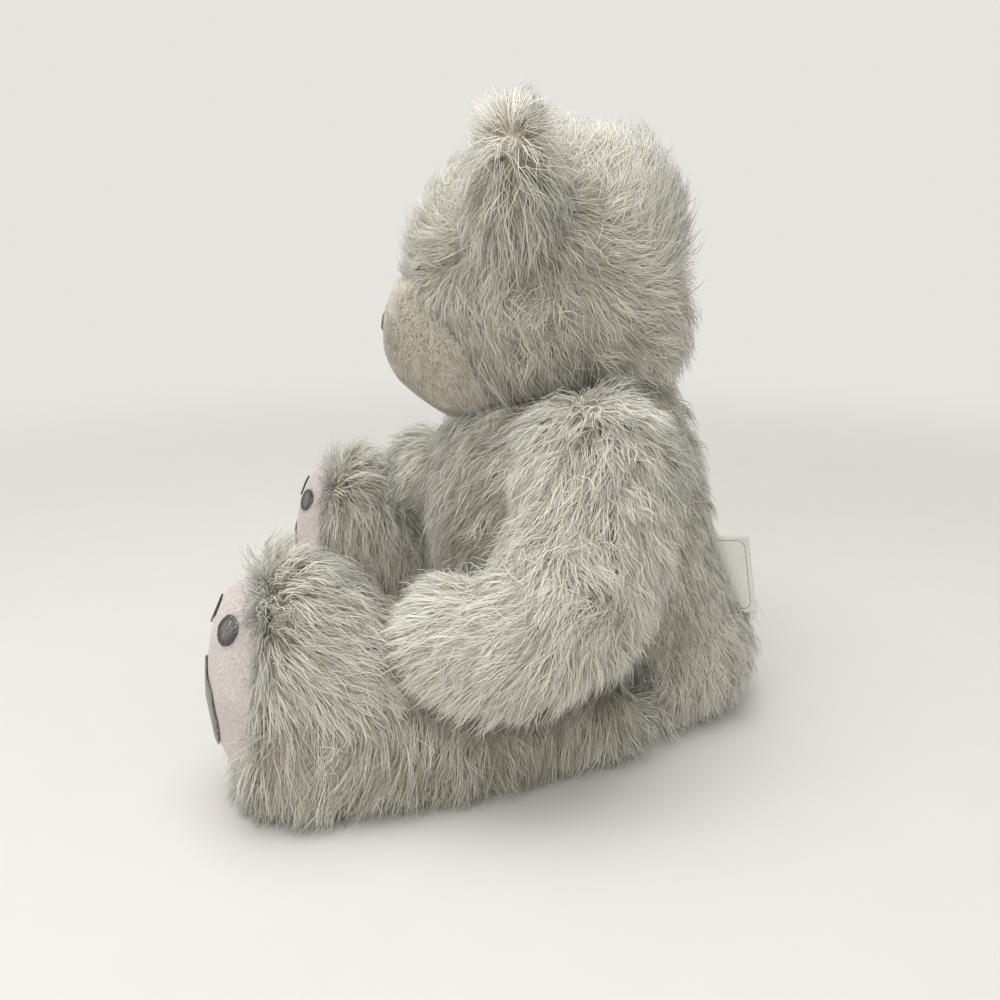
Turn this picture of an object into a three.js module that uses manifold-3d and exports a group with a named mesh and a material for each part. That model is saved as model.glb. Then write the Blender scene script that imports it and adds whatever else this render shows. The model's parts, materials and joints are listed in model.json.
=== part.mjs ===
// A seated teddy bear of long silver-grey plush, jointed at the neck, shoulders and hips: each joint
// is a pair of hardboard discs drawn together by a cotter pin. Sizes are in millimetres and angles in
// degrees. +Z is up, the bear faces -Y, its left side is +X, and the origin is the middle of its seat.
import * as THREE from "three";
import { mergeVertices } from "three/addons/utils/BufferGeometryUtils.js";
import Module from "manifold-3d";

// Cloth and fits
const PLUSH = 8; // plush cloth, backing and pile, as it lies over the stuffing
const CLAMPED_PLUSH = 3; // the same cloth squeezed between two joint discs
const FIT = 0.3; // gap between pieces that lie against each other
const JOINT_GAP = 0.5; // gap between the two cloth faces of a joint
const FLOOR_SINK = 0.5; // how far a round form is flattened where it rests

// Torso, a pear with its belly over the thighs
const TORSO_WIDTH = 128;
const TORSO_DEPTH = 156;
const TORSO_HEIGHT = 192;
const PELLET_BAG_TOP = 40;

// Joints: where each sits on the torso, and the angle of its axis
const NECK_HEIGHT = 181;
const NECK_TILT = 11; // the head leans forward
const SHOULDER_HEIGHT = 148;
const SHOULDER_TILT = 14; // the arms hang along the slope of the torso
const SHOULDER_SINK = 2.5; // how deep the disc draws the torso in
const HIP_HEIGHT = 28;
const HIP_SINK = 6.5;
const LEG_SPLAY = 8;

// Joint hardware
const DISC_THICKNESS = 2.5;
const NECK_DISC_RADIUS = 24;
const SHOULDER_DISC_RADIUS = 18;
const HIP_DISC_RADIUS = 16;
const WASHER_RADIUS = 7;
const WASHER_THICKNESS = 1;
const PIN_RADIUS = 1.6;
const PIN_HEAD_RADIUS = 3.6;
const PIN_HEAD_THICKNESS = 2.2;
const PIN_LEG_WIDTH = 2.4;
const PIN_LEG_THICKNESS = 1.2;
const PIN_CURL_RADIUS = 2.2;

// Head
const HEAD_WIDTH = 132;
const HEAD_DEPTH = 128;
const HEAD_HEIGHT = 116;
const MUZZLE_WIDTH = 74;
const MUZZLE_HEIGHT = 64;
const MUZZLE_LENGTH = 55;
const EAR_WIDTH = 54;
const EAR_HEIGHT = 38;
const EAR_THICKNESS = 22;
const EAR_LEAN = 32; // from upright, outwards
const NOSE_WIDTH = 17;
const NOSE_HEIGHT = 10;
const NOSE_PROUD = 2.6;
const MOUTH_THREAD = 1.4;
const EYE_RADIUS = 6;
const EYE_SPREAD = 25; // from the middle of the face
const EYE_HEIGHT = 55; // above the neck
const EYE_TURN = 18; // outwards
const EYE_SHANK_RADIUS = 2;
const EYE_WASHER_RADIUS = 6.5;
const EYE_WASHER_THICKNESS = 1.5;

// Arms, bent at the elbow, and legs with upright feet
const ARM_WIDTH = 60;
const ARM_LENGTH = 1; // 1 is as photographed
const RIGHT_ARM_LIFT = 20; // the right arm is held higher than the left
const LEG_LENGTH = 157; // hip to the middle of the foot
const FOOT_WIDTH = 66;
const FOOT_HEIGHT = 118;
const SOLE_REACH = 156; // hip to the sole's seam
const SOLE_LEAN = 6; // backwards from upright

// Pads on the paws and soles
const SOLE_WIDTH = 56;
const SOLE_HEIGHT = 98;
const SOLE_DOME = 23.5;
const SOLE_SWEEP = 0.5; // how far the dome leans towards the toes, for each millimetre out
const SOLE_EDGE = 2;
const MAIN_PAD_WIDTH = 38;
const MAIN_PAD_HEIGHT = 42;
const MAIN_PAD_PROUD = 1.2;
const TOE_WIDTH = 10.5;
const TOE_HEIGHT = 14;
const TOE_PROUD = 0.65;
const TOES = [
  // [name, how far out from the sole's middle line, how far above its middle]
  ["outer_toe", 18, 33],
  ["middle_toe", -2, 35],
  ["inner_toe", -19, 31],
];
const PAW_PAD_WIDTH = 30;
const PAW_PAD_LENGTH = 36;
const PAW_PAD_PROUD = 1.6;

// Sewn-in label in the back seam
const LABEL_WIDTH = 31;
const LABEL_HEIGHT = 44;
const LABEL_THICKNESS = 1;
const LABEL_CORNER = 3;
const LABEL_SIDE = 12; // off the middle of the back
const LABEL_MIDDLE_HEIGHT = 73;
const LABEL_LEAN = 13;
const LABEL_SHOWN = 11; // beyond the plush

// How finely rounds are stepped
const SHELL = { sides: 16, ringsPerKey: 2, domeSteps: 3 };
const LINING = { sides: 8, ringsPerKey: 1, domeSteps: 2 };
const ROUND_SIDES = 12;
const SOLE_SIDES = 16;
const PIN_SIDES = 8;
const FAR = 400; // larger than the bear, for cutting blocks

const wasm = await Module();
wasm.setup();

const vec = (x, y, z) => new THREE.Vector3(x, y, z);
const radians = THREE.MathUtils.degToRad;

// Solids

function solid(geometry) {
  const bare = geometry.clone();
  bare.deleteAttribute("normal");
  bare.deleteAttribute("uv");
  const merged = mergeVertices(bare, 1e-4);
  const corners = merged.index.array;
  const triangles = [];
  for (let i = 0; i < corners.length; i += 3) {
    const [a, b, c] = corners.slice(i, i + 3);
    if (a !== b && b !== c && c !== a) triangles.push(a, b, c);
  }
  const mesh = new wasm.Mesh({
    numProp: 3,
    vertProperties: new Float32Array(merged.attributes.position.array),
    triVerts: new Uint32Array(triangles),
  });
  return new wasm.Manifold(mesh);
}

function geometryOf(body) {
  const mesh = body.getMesh();
  const geometry = new THREE.BufferGeometry();
  geometry.setAttribute("position", new THREE.BufferAttribute(mesh.vertProperties, 3));
  geometry.setIndex(new THREE.BufferAttribute(mesh.triVerts, 1));
  return geometry;
}

// A place with three directions: x up the joint, y forward and z out of the larger piece.
function place(origin, out, forward) {
  const up = forward.clone().cross(out).normalize();
  return new THREE.Matrix4().makeBasis(up, forward, out).setPosition(origin);
}

// A solid of revolution about the place's outward direction; its profile is [radius, out] pairs,
// listed with the solid on the left.
function turned(profile, at, sides = ROUND_SIDES) {
  const points = profile.map(([radius, out]) => new THREE.Vector2(radius, out));
  const geometry = new THREE.LatheGeometry(points, sides).rotateX(Math.PI / 2);
  return solid(geometry.applyMatrix4(at));
}

const column = (radius, from, to, at, sides) =>
  turned([[0, from], [radius, from], [radius, to], [0, to]], at, sides);

const ring = (hole, radius, from, to, at) =>
  turned([[hole, from], [radius, from], [radius, to], [hole, to], [hole, from]], at);

// A flat outline in the place's up and forward directions, made thick along its outward direction.
function slab(outline, from, to, at, curveSegments = 6) {
  const options = { depth: to - from, bevelEnabled: false, curveSegments };
  return solid(new THREE.ExtrudeGeometry(outline, options).translate(0, 0, from).applyMatrix4(at));
}

const halfSpaceAbove = (level, at) => {
  const block = new THREE.BoxGeometry(2 * FAR, 2 * FAR, FAR).translate(0, 0, level + FAR / 2);
  return solid(block.applyMatrix4(at));
};

// A stuffed form: oval rings strung on a smooth centre line, with a domed end beyond each end ring.
// Each key is {at, w, h}: a point of the centre line, the half-width along `across`, and the
// half-height square to it. Rings are square to the centre line, or to `axis` where one is given.
// `grow` swells the whole form, and below zero it shrinks it to a lining.
function stuffed(form, grow = 0, { sides, ringsPerKey, domeSteps } = SHELL) {
  const { keys, across, axis, startDome, endDome, square = 2 } = form;
  const spine = new THREE.CatmullRomCurve3(keys.map((key) => key.at));
  const girth = new THREE.SplineCurve(keys.map((key) => new THREE.Vector2(key.w, key.h)));
  const rings = [];
  const addRing = (t, along, scale) => {
    const tangent = axis ?? spine.getTangent(t);
    const centre = spine.getPoint(t).addScaledVector(tangent, along);
    const size = girth.getPoint(t).addScalar(grow).multiplyScalar(scale);
    rings.push({ centre, tangent, size });
  };
  const quarter = (step) => (step / domeSteps) * (Math.PI / 2);
  for (let step = 0; step < domeSteps; step++) {
    addRing(0, -(startDome + grow) * Math.cos(quarter(step)), Math.sin(quarter(step)));
  }
  const spans = (keys.length - 1) * ringsPerKey;
  for (let step = 0; step <= spans; step++) addRing(step / spans, 0, 1);
  for (let step = domeSteps - 1; step >= 0; step--) {
    addRing(1, (endDome + grow) * Math.cos(quarter(step)), Math.sin(quarter(step)));
  }

  const oval = (turn) => Math.sign(turn) * Math.abs(turn) ** (2 / square);
  const points = [rings[0].centre];
  for (const { centre, tangent, size } of rings.slice(1, -1)) {
    const side = across.clone().addScaledVector(tangent, -across.dot(tangent)).normalize();
    const rise = tangent.clone().cross(side);
    for (let i = 0; i < sides; i++) {
      const turn = (2 * Math.PI * i) / sides;
      points.push(
        centre
          .clone()
          .addScaledVector(side, size.x * oval(Math.cos(turn)))
          .addScaledVector(rise, size.y * oval(Math.sin(turn))),
      );
    }
  }
  points.push(rings.at(-1).centre);

  const index = [];
  const last = points.length - 1;
  const ringCount = rings.length - 2;
  const vertex = (ringNumber, i) => 1 + ringNumber * sides + (i % sides);
  for (let i = 0; i < sides; i++) {
    index.push(0, vertex(0, i + 1), vertex(0, i));
    const onLeft = Math.cos((2 * Math.PI * (i + 0.5)) / sides) > 0;
    for (let r = 0; r < ringCount - 1; r++) {
      const [a, b] = [vertex(r, i), vertex(r, i + 1)];
      const [c, d] = [vertex(r + 1, i + 1), vertex(r + 1, i)];
      index.push(...(onLeft ? [a, b, d, b, c, d] : [a, b, c, a, c, d]));
    }
    index.push(last, vertex(ringCount - 1, i), vertex(ringCount - 1, i + 1));
  }
  const geometry = new THREE.BufferGeometry().setFromPoints(points);
  return solid(geometry.setIndex(index));
}

const lining = (form, gap = 0) => stuffed(form, -PLUSH - gap, LINING);

// The torso's form: [height, half-width, half-depth, how far its middle is set back], the first
// three as shares of the torso's height, half-width and half-depth.
const TORSO_RINGS = [
  [0.075, 0.8, 0.9, 12],
  [0.2, 0.88, 1.0, 13],
  [0.39, 1.0, 0.97, 6],
  [0.585, 0.97, 0.87, -4],
  [0.77, 0.81, 0.73, -6],
  [0.915, 0.6, 0.54, -3],
];
const torsoForm = {
  keys: TORSO_RINGS.map(([up, wide, deep, back]) => ({
    at: vec(0, back, up * TORSO_HEIGHT),
    w: (wide * TORSO_WIDTH) / 2,
    h: (deep * TORSO_DEPTH) / 2,
  })),
  across: vec(1, 0, 0),
  axis: vec(0, 0, 1),
  startDome: 0.075 * TORSO_HEIGHT + 4,
  endDome: 0.085 * TORSO_HEIGHT,
  square: 2.3,
};

// The torso's half-width, or its back, at a height
function torsoAt(height, measure) {
  const sizes = TORSO_RINGS.map(([up, wide, deep, back]) => ({
    up: up * TORSO_HEIGHT,
    width: (wide * TORSO_WIDTH) / 2,
    back: back + (deep * TORSO_DEPTH) / 2,
  }));
  const next = Math.max(1, sizes.findIndex((size) => size.up > height));
  const [low, high] = [sizes[next - 1], sizes[next]];
  const share = (height - low.up) / (high.up - low.up);
  return THREE.MathUtils.lerp(low[measure], high[measure], share);
}

// Joint places

const neckTilt = radians(NECK_TILT);
const neckPlace = place(
  vec(0, -2, NECK_HEIGHT),
  vec(0, -Math.sin(neckTilt), Math.cos(neckTilt)),
  vec(0, -Math.cos(neckTilt), -Math.sin(neckTilt)),
);
const shoulderTilt = radians(SHOULDER_TILT);
const shoulderPlace = place(
  vec(torsoAt(SHOULDER_HEIGHT, "width") - SHOULDER_SINK, 0, SHOULDER_HEIGHT),
  vec(Math.cos(shoulderTilt), 0, Math.sin(shoulderTilt)),
  vec(0, -1, 0),
);
const splay = radians(LEG_SPLAY);
const hipPlace = place(
  vec(torsoAt(HIP_HEIGHT, "width") - HIP_SINK, 0, HIP_HEIGHT),
  vec(Math.cos(splay), Math.sin(splay), 0),
  vec(Math.sin(splay), -Math.cos(splay), 0),
);
const mirrorPlane = new THREE.Matrix4().makeScale(-1, 1, 1);

// Joint hardware: the stack from the cloth face to the pin's end is the same on both sides

const CLOTH_FACE = JOINT_GAP / 2;
const DISC_FACE = CLOTH_FACE + CLAMPED_PLUSH + FIT;
const WASHER_FACE = DISC_FACE + DISC_THICKNESS + FIT;
const PIN_FACE = WASHER_FACE + WASHER_THICKNESS + FIT;
const PIN_HOLE = PIN_RADIUS + FIT;
const CURL_DEPTH = PIN_CURL_RADIUS + PIN_LEG_THICKNESS;
const CURL_REACH = 2 * CURL_DEPTH;

// The room that a disc, its washer and the pin's end take in the stuffing; `side` is 1 in the limb
// and -1 in the torso.
function jointRoom(discRadius, at, side) {
  const endRadius = side > 0 ? PIN_HEAD_RADIUS : CURL_REACH;
  const endDepth = side > 0 ? PIN_HEAD_THICKNESS : CURL_DEPTH;
  const steps = [
    [0, CLOTH_FACE + CLAMPED_PLUSH],
    [discRadius + FIT, CLOTH_FACE + CLAMPED_PLUSH],
    [discRadius + FIT, WASHER_FACE],
    [WASHER_RADIUS + FIT, WASHER_FACE],
    [WASHER_RADIUS + FIT, PIN_FACE],
    [endRadius + 2 * FIT, PIN_FACE],
    [endRadius + 2 * FIT, PIN_FACE + endDepth + FIT],
    [0, PIN_FACE + endDepth + FIT],
  ];
  const profile = side > 0 ? steps : steps.map(([radius, out]) => [radius, -out]).reverse();
  return turned(profile, at);
}

const pinHole = (at) => column(PIN_HOLE, -PLUSH, PLUSH, at, PIN_SIDES);

function disc(discRadius, at, side) {
  const faces = [side * DISC_FACE, side * (DISC_FACE + DISC_THICKNESS)].sort((a, b) => a - b);
  return ring(PIN_HOLE, discRadius, ...faces, at);
}

function washer(at, side) {
  const faces = [side * WASHER_FACE, side * (WASHER_FACE + WASHER_THICKNESS)].sort((a, b) => a - b);
  return ring(PIN_HOLE, WASHER_RADIUS, ...faces, at);
}

// A cotter pin: a domed head in the limb, and two legs in the torso curled over onto the washer
function cotterPin(at) {
  const shank = turned(
    [
      [0, -PIN_FACE - PIN_LEG_THICKNESS],
      [PIN_RADIUS, -PIN_FACE - PIN_LEG_THICKNESS],
      [PIN_RADIUS, PIN_FACE],
      [PIN_HEAD_RADIUS, PIN_FACE],
      [PIN_HEAD_RADIUS * 0.8, PIN_FACE + PIN_HEAD_THICKNESS * 0.7],
      [0, PIN_FACE + PIN_HEAD_THICKNESS],
    ],
    at,
    PIN_SIDES,
  );
  const leg = new THREE.Shape();
  leg.absarc(CURL_DEPTH, 0, CURL_DEPTH, Math.PI, 0, true);
  leg.lineTo(CURL_DEPTH + PIN_CURL_RADIUS, 0);
  leg.absarc(CURL_DEPTH, 0, PIN_CURL_RADIUS, 0, Math.PI, false);
  leg.closePath();
  const legAt = new THREE.Matrix4().makeRotationX(-Math.PI / 2);
  const curl = (turn) => {
    const upright = new THREE.Matrix4().makeRotationZ(turn).multiply(legAt);
    upright.setPosition(0, 0, -PIN_FACE);
    const half = PIN_LEG_WIDTH / 2;
    return slab(leg, -half, half, at.clone().multiply(upright), 3);
  };
  return shank.add(curl(0)).add(curl(Math.PI));
}

// The space outside a joint's cloth face that the limb sweeps; the torso is cut flat there.
const HIP_SWEEP = 36;
const sweptByArm = (gap) => halfSpaceAbove(-CLOTH_FACE - gap, shoulderPlace);
const sweptByLeg = (gap) => column(HIP_SWEEP, -CLOTH_FACE - gap, FAR / 2, hipPlace);
const sweptByHead = (gap) => halfSpaceAbove(-CLOTH_FACE - gap, neckPlace);

// Limb forms, in their joint's own directions: up, forward, out

const inPlace = (form, at) => {
  const across = form.across.clone().transformDirection(at);
  const keys = form.keys.map((key) => ({ ...key, at: key.at.clone().applyMatrix4(at) }));
  return { ...form, across, keys };
};

const ARM_KEYS = [
  // [up, forward, how far its inner side stands off the torso, half-width share, half-height]
  [1, -2, -3, 0.86, 33],
  [-34, 2, -1, 0.95, 33],
  [-66, 14, 4, 1.0, 33],
  [-82, 41, 8, 0.97, 29],
  [-81, 64, 8, 0.88, 26.5],
];
const armForm = inPlace(
  {
    keys: ARM_KEYS.map(([up, forward, standOff, wide, h]) => {
      const w = (wide * ARM_WIDTH) / 2;
      return { at: vec(up * ARM_LENGTH, forward * ARM_LENGTH, w + standOff), w, h };
    }),
    across: vec(0, 0, 1),
    startDome: 26,
    endDome: 21,
  },
  shoulderPlace,
);

const LEG_SINK = 2;
const LEG_KEYS = [
  // [forward as a share of the leg's length, half-width share, height share]
  [0.013, 0.61, 0.41],
  [0.33, 0.78, 0.43],
  [0.6, 0.9, 0.54],
  [0.79, 0.98, 0.8],
  [1.0, 1.0, 1.0],
];
const legForm = inPlace(
  {
    keys: LEG_KEYS.map(([forward, wide, tall], key) => {
      const w = (wide * FOOT_WIDTH) / 2;
      const h = (tall * FOOT_HEIGHT) / 2;
      const sink = key ? -1 : LEG_SINK;
      return { at: vec(h - FLOOR_SINK - HIP_HEIGHT, forward * LEG_LENGTH, w - sink), w, h };
    }),
    across: vec(0, 0, 1),
    startDome: 25,
    endDome: 24,
    square: 2.4,
  },
  hipPlace,
);

// The sole's place: forward of the foot, in the middle of its height, leaning back
const soleLean = radians(SOLE_LEAN);
const solePlace = hipPlace
  .clone()
  .multiply(
    place(
      vec(FOOT_HEIGHT / 2 - HIP_HEIGHT - 3, SOLE_REACH, FOOT_WIDTH / 2 + 1),
      vec(Math.sin(soleLean), Math.cos(soleLean), 0),
      vec(0, 0, -1),
    ),
  );

// Head forms, above the neck

const aboveNeck = (y, z) => vec(0, y, NECK_HEIGHT + z);
const FACE_SET_BACK = -19;
const HEAD_RINGS = [
  // [height share, half-width share, half-depth share, how far its middle is set back]
  [0.13, 0.8, 0.87, -13],
  [0.3, 0.97, 0.97, -17],
  [0.51, 1.0, 1.0, FACE_SET_BACK],
  [0.72, 0.92, 0.9, -14],
  [0.855, 0.72, 0.71, -9],
];
const headForm = {
  keys: HEAD_RINGS.map(([up, wide, deep, back]) => ({
    at: aboveNeck(back, up * HEAD_HEIGHT),
    w: (wide * HEAD_WIDTH) / 2,
    h: (deep * HEAD_DEPTH) / 2,
  })),
  across: vec(1, 0, 0),
  axis: vec(0, 0, 1),
  startDome: 0.16 * HEAD_HEIGHT,
  endDome: 0.145 * HEAD_HEIGHT,
  square: 2.2,
};

const MUZZLE_LIFT = 22; // of its middle above the neck
const MUZZLE_ROOT = -45;
const muzzleForm = {
  keys: [
    [0, 1.0, 1.0, 0],
    [0.45, 1.0, 1.0, 0],
    [0.74, 0.82, 0.86, 1],
  ].map(([share, wide, tall, lift]) => ({
    at: aboveNeck(MUZZLE_ROOT - share * MUZZLE_LENGTH, MUZZLE_LIFT + lift),
    w: (wide * MUZZLE_WIDTH) / 2,
    h: (tall * MUZZLE_HEIGHT) / 2,
  })),
  across: vec(-1, 0, 0),
  startDome: 10,
  endDome: 0.26 * MUZZLE_LENGTH,
};

const earLean = radians(EAR_LEAN);
const earOut = vec(Math.sin(earLean), 0, Math.cos(earLean));
const earRoot = vec(0.36 * HEAD_WIDTH, -36, NECK_HEIGHT + 0.74 * HEAD_HEIGHT);
const earForm = {
  keys: [
    [-0.35, 0.85, 0.9],
    [0.2, 1.0, 1.0],
    [0.62, 0.84, 0.9],
  ].map(([share, wide, thick]) => ({
    at: earRoot.clone().addScaledVector(earOut, share * EAR_HEIGHT),
    w: (wide * EAR_WIDTH) / 2,
    h: (thick * EAR_THICKNESS) / 2,
  })),
  across: vec(Math.cos(earLean), 0, -Math.sin(earLean)),
  startDome: 4,
  endDome: 0.36 * EAR_HEIGHT,
};

// Materials

const cloth = (colour, roughness) =>
  new THREE.MeshStandardMaterial({ color: colour, roughness, metalness: 0 });
const SILVER_PLUSH = cloth(0xc2bdaa, 0.95);
const MUZZLE_PLUSH = cloth(0xb8ad94, 0.95);
const LILAC_NAP = cloth(0xd8d0cc, 0.9);
const GREY_PAD = cloth(0x8a857f, 0.6);
const DARK_THREAD = cloth(0x3a3431, 0.7);
const POLYESTER_FILL = cloth(0xeeece6, 1);
const PELLET_CLOTH = cloth(0xd9d4c8, 0.9);
const WHITE_SATIN = cloth(0xdcdbd4, 0.5);
const HARDBOARD = cloth(0x8a6a48, 0.85);
const GLOSSY_BLACK = cloth(0x17120f, 0.15);
const WHITE_PLASTIC = cloth(0xe4e2dc, 0.45);
const STEEL = new THREE.MeshStandardMaterial({ color: 0xb4b6b8, roughness: 0.35, metalness: 1 });

const bear = new THREE.Group();
bear.name = "teddy_bear";

function add(name, body, material) {
  const mesh = new THREE.Mesh(geometryOf(body), material.clone());
  mesh.name = name;
  bear.add(mesh);
}

function mirrored(body) {
  const geometry = geometryOf(body).applyMatrix4(mirrorPlane);
  const corners = geometry.index.array;
  for (let i = 0; i < corners.length; i += 3) {
    [corners[i], corners[i + 1]] = [corners[i + 1], corners[i]];
  }
  return solid(geometry);
}

function addPair(name, leftBody, material) {
  add(`left_${name}`, leftBody, material);
  add(`right_${name}`, mirrored(leftBody), material);
}

// Takes a left-hand cutting solid out of both sides of a middle piece
const cutBothSides = (body, cutter) => body.subtract(cutter).subtract(mirrored(cutter));

// Torso: plush cover, its stuffing and the bag of pellets in the seat

const clearOfJoints = (body, gap) => {
  const clearOfArms = cutBothSides(body.subtract(sweptByHead(gap)), sweptByArm(gap));
  return cutBothSides(clearOfArms, sweptByLeg(gap));
};
const aboveFloor = (height = 0) => halfSpaceAbove(height, new THREE.Matrix4());
const torsoOuter = clearOfJoints(stuffed(torsoForm), 0).intersect(aboveFloor());
const torsoRooms = (body) => {
  const shoulder = jointRoom(SHOULDER_DISC_RADIUS, shoulderPlace, -1);
  const hip = jointRoom(HIP_DISC_RADIUS, hipPlace, -1);
  const neck = jointRoom(NECK_DISC_RADIUS, neckPlace, -1);
  return cutBothSides(cutBothSides(body.subtract(neck), shoulder), hip);
};

const labelLean = radians(LABEL_LEAN);
const labelPlace = place(
  vec(
    LABEL_SIDE,
    torsoAt(LABEL_MIDDLE_HEIGHT, "back") + LABEL_SHOWN - LABEL_WIDTH / 2,
    LABEL_MIDDLE_HEIGHT,
  ),
  vec(1, 0, 0),
  vec(0, Math.cos(labelLean), Math.sin(labelLean)),
);
function labelSlab(grow) {
  const [tall, wide] = [LABEL_HEIGHT / 2 + grow, LABEL_WIDTH / 2 + grow];
  const corner = LABEL_CORNER + grow;
  const outline = new THREE.Shape();
  outline.absarc(tall - corner, wide - corner, corner, 0, Math.PI / 2);
  outline.absarc(-tall + corner, wide - corner, corner, Math.PI / 2, Math.PI);
  outline.absarc(-tall + corner, -wide + corner, corner, Math.PI, 1.5 * Math.PI);
  outline.absarc(tall - corner, -wide + corner, corner, 1.5 * Math.PI, 2 * Math.PI);
  const half = LABEL_THICKNESS / 2 + grow;
  return slab(outline, -half, half, labelPlace, 3);
}

const torsoHollow = (gap) =>
  clearOfJoints(lining(torsoForm, gap), CLAMPED_PLUSH + gap).intersect(aboveFloor(CLAMPED_PLUSH + gap));
let torsoCover = torsoRooms(torsoOuter.subtract(torsoHollow(0))).subtract(labelSlab(FIT));
torsoCover = cutBothSides(cutBothSides(torsoCover, pinHole(shoulderPlace)), pinHole(hipPlace));
torsoCover = torsoCover.subtract(pinHole(neckPlace));
add("torso_cover", torsoCover, SILVER_PLUSH);

const torsoFill = torsoRooms(torsoHollow(FIT)).subtract(labelSlab(FIT));
add("torso_stuffing", torsoFill.intersect(aboveFloor(PELLET_BAG_TOP)), POLYESTER_FILL);
add("pellet_bag", torsoFill.subtract(aboveFloor(PELLET_BAG_TOP - FIT)), PELLET_CLOTH);
add("sewn_label", labelSlab(0), WHITE_SATIN);

add("neck_body_disc", disc(NECK_DISC_RADIUS, neckPlace, -1), HARDBOARD);
add("neck_body_washer", washer(neckPlace, -1), STEEL);
addPair("shoulder_body_disc", disc(SHOULDER_DISC_RADIUS, shoulderPlace, -1), HARDBOARD);
addPair("shoulder_body_washer", washer(shoulderPlace, -1), STEEL);
addPair("hip_body_disc", disc(HIP_DISC_RADIUS, hipPlace, -1), HARDBOARD);
addPair("hip_body_washer", washer(hipPlace, -1), STEEL);

// A limb's cover and stuffing; `endAt` closes the hollow short of a sewn-on pad
function limb(form, at, discRadius, outer, endAt = (body) => body) {
  const room = jointRoom(discRadius, at, 1);
  const hollow = (gap) => {
    const face = halfSpaceAbove(CLOTH_FACE + CLAMPED_PLUSH + gap, at);
    return endAt(lining(form, gap).intersect(face), gap);
  };
  return {
    cover: outer.subtract(hollow(0)).subtract(room).subtract(pinHole(at)),
    fill: hollow(FIT).subtract(room),
  };
}

// Legs, with a sole pad that carries the embroidered paw

const unitDome = (width, height, edge, rise) => {
  const arc = [0.25, 0.5, 0.75, 1].map((share) => {
    const turn = (share * Math.PI) / 2;
    return [Math.cos(turn), edge + (rise - edge) * Math.sin(turn)];
  });
  const profile = [[0, 0], [1, 0], [1, edge], ...arc.slice(0, -1), [0, rise]];
  return [profile, new THREE.Matrix4().makeScale(height / 2, width / 2, 1)];
};
function soleDome(grow) {
  const [profile, stretch] = unitDome(
    SOLE_WIDTH + 2 * grow,
    SOLE_HEIGHT + 2 * grow,
    SOLE_EDGE + grow,
    SOLE_DOME + grow,
  );
  const sweep = new THREE.Matrix4().set(1, 0, SOLE_SWEEP, 0, 0, 1, 0, 0, 0, 0, 1, FIT, 0, 0, 0, 1);
  return turned(profile, solePlace.clone().multiply(sweep).multiply(stretch), SOLE_SIDES);
}
const soleCut = halfSpaceAbove(0, solePlace);
const legFace = halfSpaceAbove(CLOTH_FACE, hipPlace);
const torsoGrown = stuffed(torsoForm, FIT).subtract(sweptByLeg(0));
const legOuter = stuffed(legForm)
  .intersect(legFace)
  .intersect(aboveFloor())
  .subtract(torsoGrown)
  .subtract(soleCut);
const leg = limb(legForm, hipPlace, HIP_DISC_RADIUS, legOuter, (body, gap) =>
  body.subtract(halfSpaceAbove(-CLAMPED_PLUSH - gap, solePlace)),
);
addPair("leg_cover", leg.cover, SILVER_PLUSH);
addPair("leg_stuffing", leg.fill, POLYESTER_FILL);
addPair("sole", soleDome(0), LILAC_NAP);

function solePatch(width, height, rise, aside, proud) {
  const stretch = new THREE.Matrix4().makeScale(height / 2, width / 2, 1);
  const at = solePlace.clone().multiply(stretch.setPosition(rise, -aside, 0));
  const reach = column(1, 0.3 * SOLE_DOME, SOLE_DOME + PLUSH, at, ROUND_SIDES);
  return reach.intersect(soleDome(proud)).subtract(soleDome(FIT));
}
addPair("sole_main_pad", solePatch(MAIN_PAD_WIDTH, MAIN_PAD_HEIGHT, -8, 0, MAIN_PAD_PROUD), GREY_PAD);
// The place square to the dome at a height and a distance across it
function onDome(up, across) {
  const [tall, wide, rise] = [SOLE_HEIGHT / 2, SOLE_WIDTH / 2, SOLE_DOME - SOLE_EDGE];
  let out = SOLE_DOME;
  for (let step = 0; step < 40; step += 1) {
    const share = ((up - SOLE_SWEEP * out) / tall) ** 2 + (across / wide) ** 2;
    out = SOLE_EDGE + rise * Math.sqrt(Math.max(0, 1 - share));
  }
  const slope = (up - SOLE_SWEEP * out) / tall ** 2;
  const square = vec(slope, across / wide ** 2, (out - SOLE_EDGE) / rise ** 2 - SOLE_SWEEP * slope).normalize();
  const forward = square.clone().cross(vec(1, 0, 0)).normalize();
  return solePlace.clone().multiply(place(vec(up, across, out + FIT), square, forward));
}
for (const [name, aside, rise] of TOES) {
  const oval = new THREE.Matrix4().makeScale(TOE_HEIGHT / 2, TOE_WIDTH / 2, 1);
  const reach = column(1, -8, PLUSH, onDome(rise, -aside).multiply(oval), ROUND_SIDES);
  addPair(name, reach.intersect(soleDome(TOE_PROUD)).subtract(soleDome(FIT)), DARK_THREAD);
}
addPair("hip_leg_disc", disc(HIP_DISC_RADIUS, hipPlace, 1), HARDBOARD);
addPair("hip_leg_washer", washer(hipPlace, 1), STEEL);
addPair("hip_pin", cotterPin(hipPlace), STEEL);

// Arms, with a pad on the end of each paw

const raised = (body, angle) => {
  const turn = new THREE.Matrix4().makeRotationZ(-radians(angle));
  const fromShoulder = shoulderPlace.clone().invert();
  return body.transform(shoulderPlace.clone().multiply(turn).multiply(fromShoulder).elements);
};
function addArms(name, leftBody, material) {
  add(`left_${name}`, leftBody, material);
  add(`right_${name}`, mirrored(raised(leftBody, RIGHT_ARM_LIFT)), material);
}

// The arm gives way to the thigh it lies on, all the way up from the lap
const clearOfLap = (body, gap) => {
  const thigh = stuffed(legForm, 3 * FIT + gap);
  return [0, 5, 10, 15, 20, 25].reduce((left, angle) => left.subtract(raised(thigh, -angle)), body);
};

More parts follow.
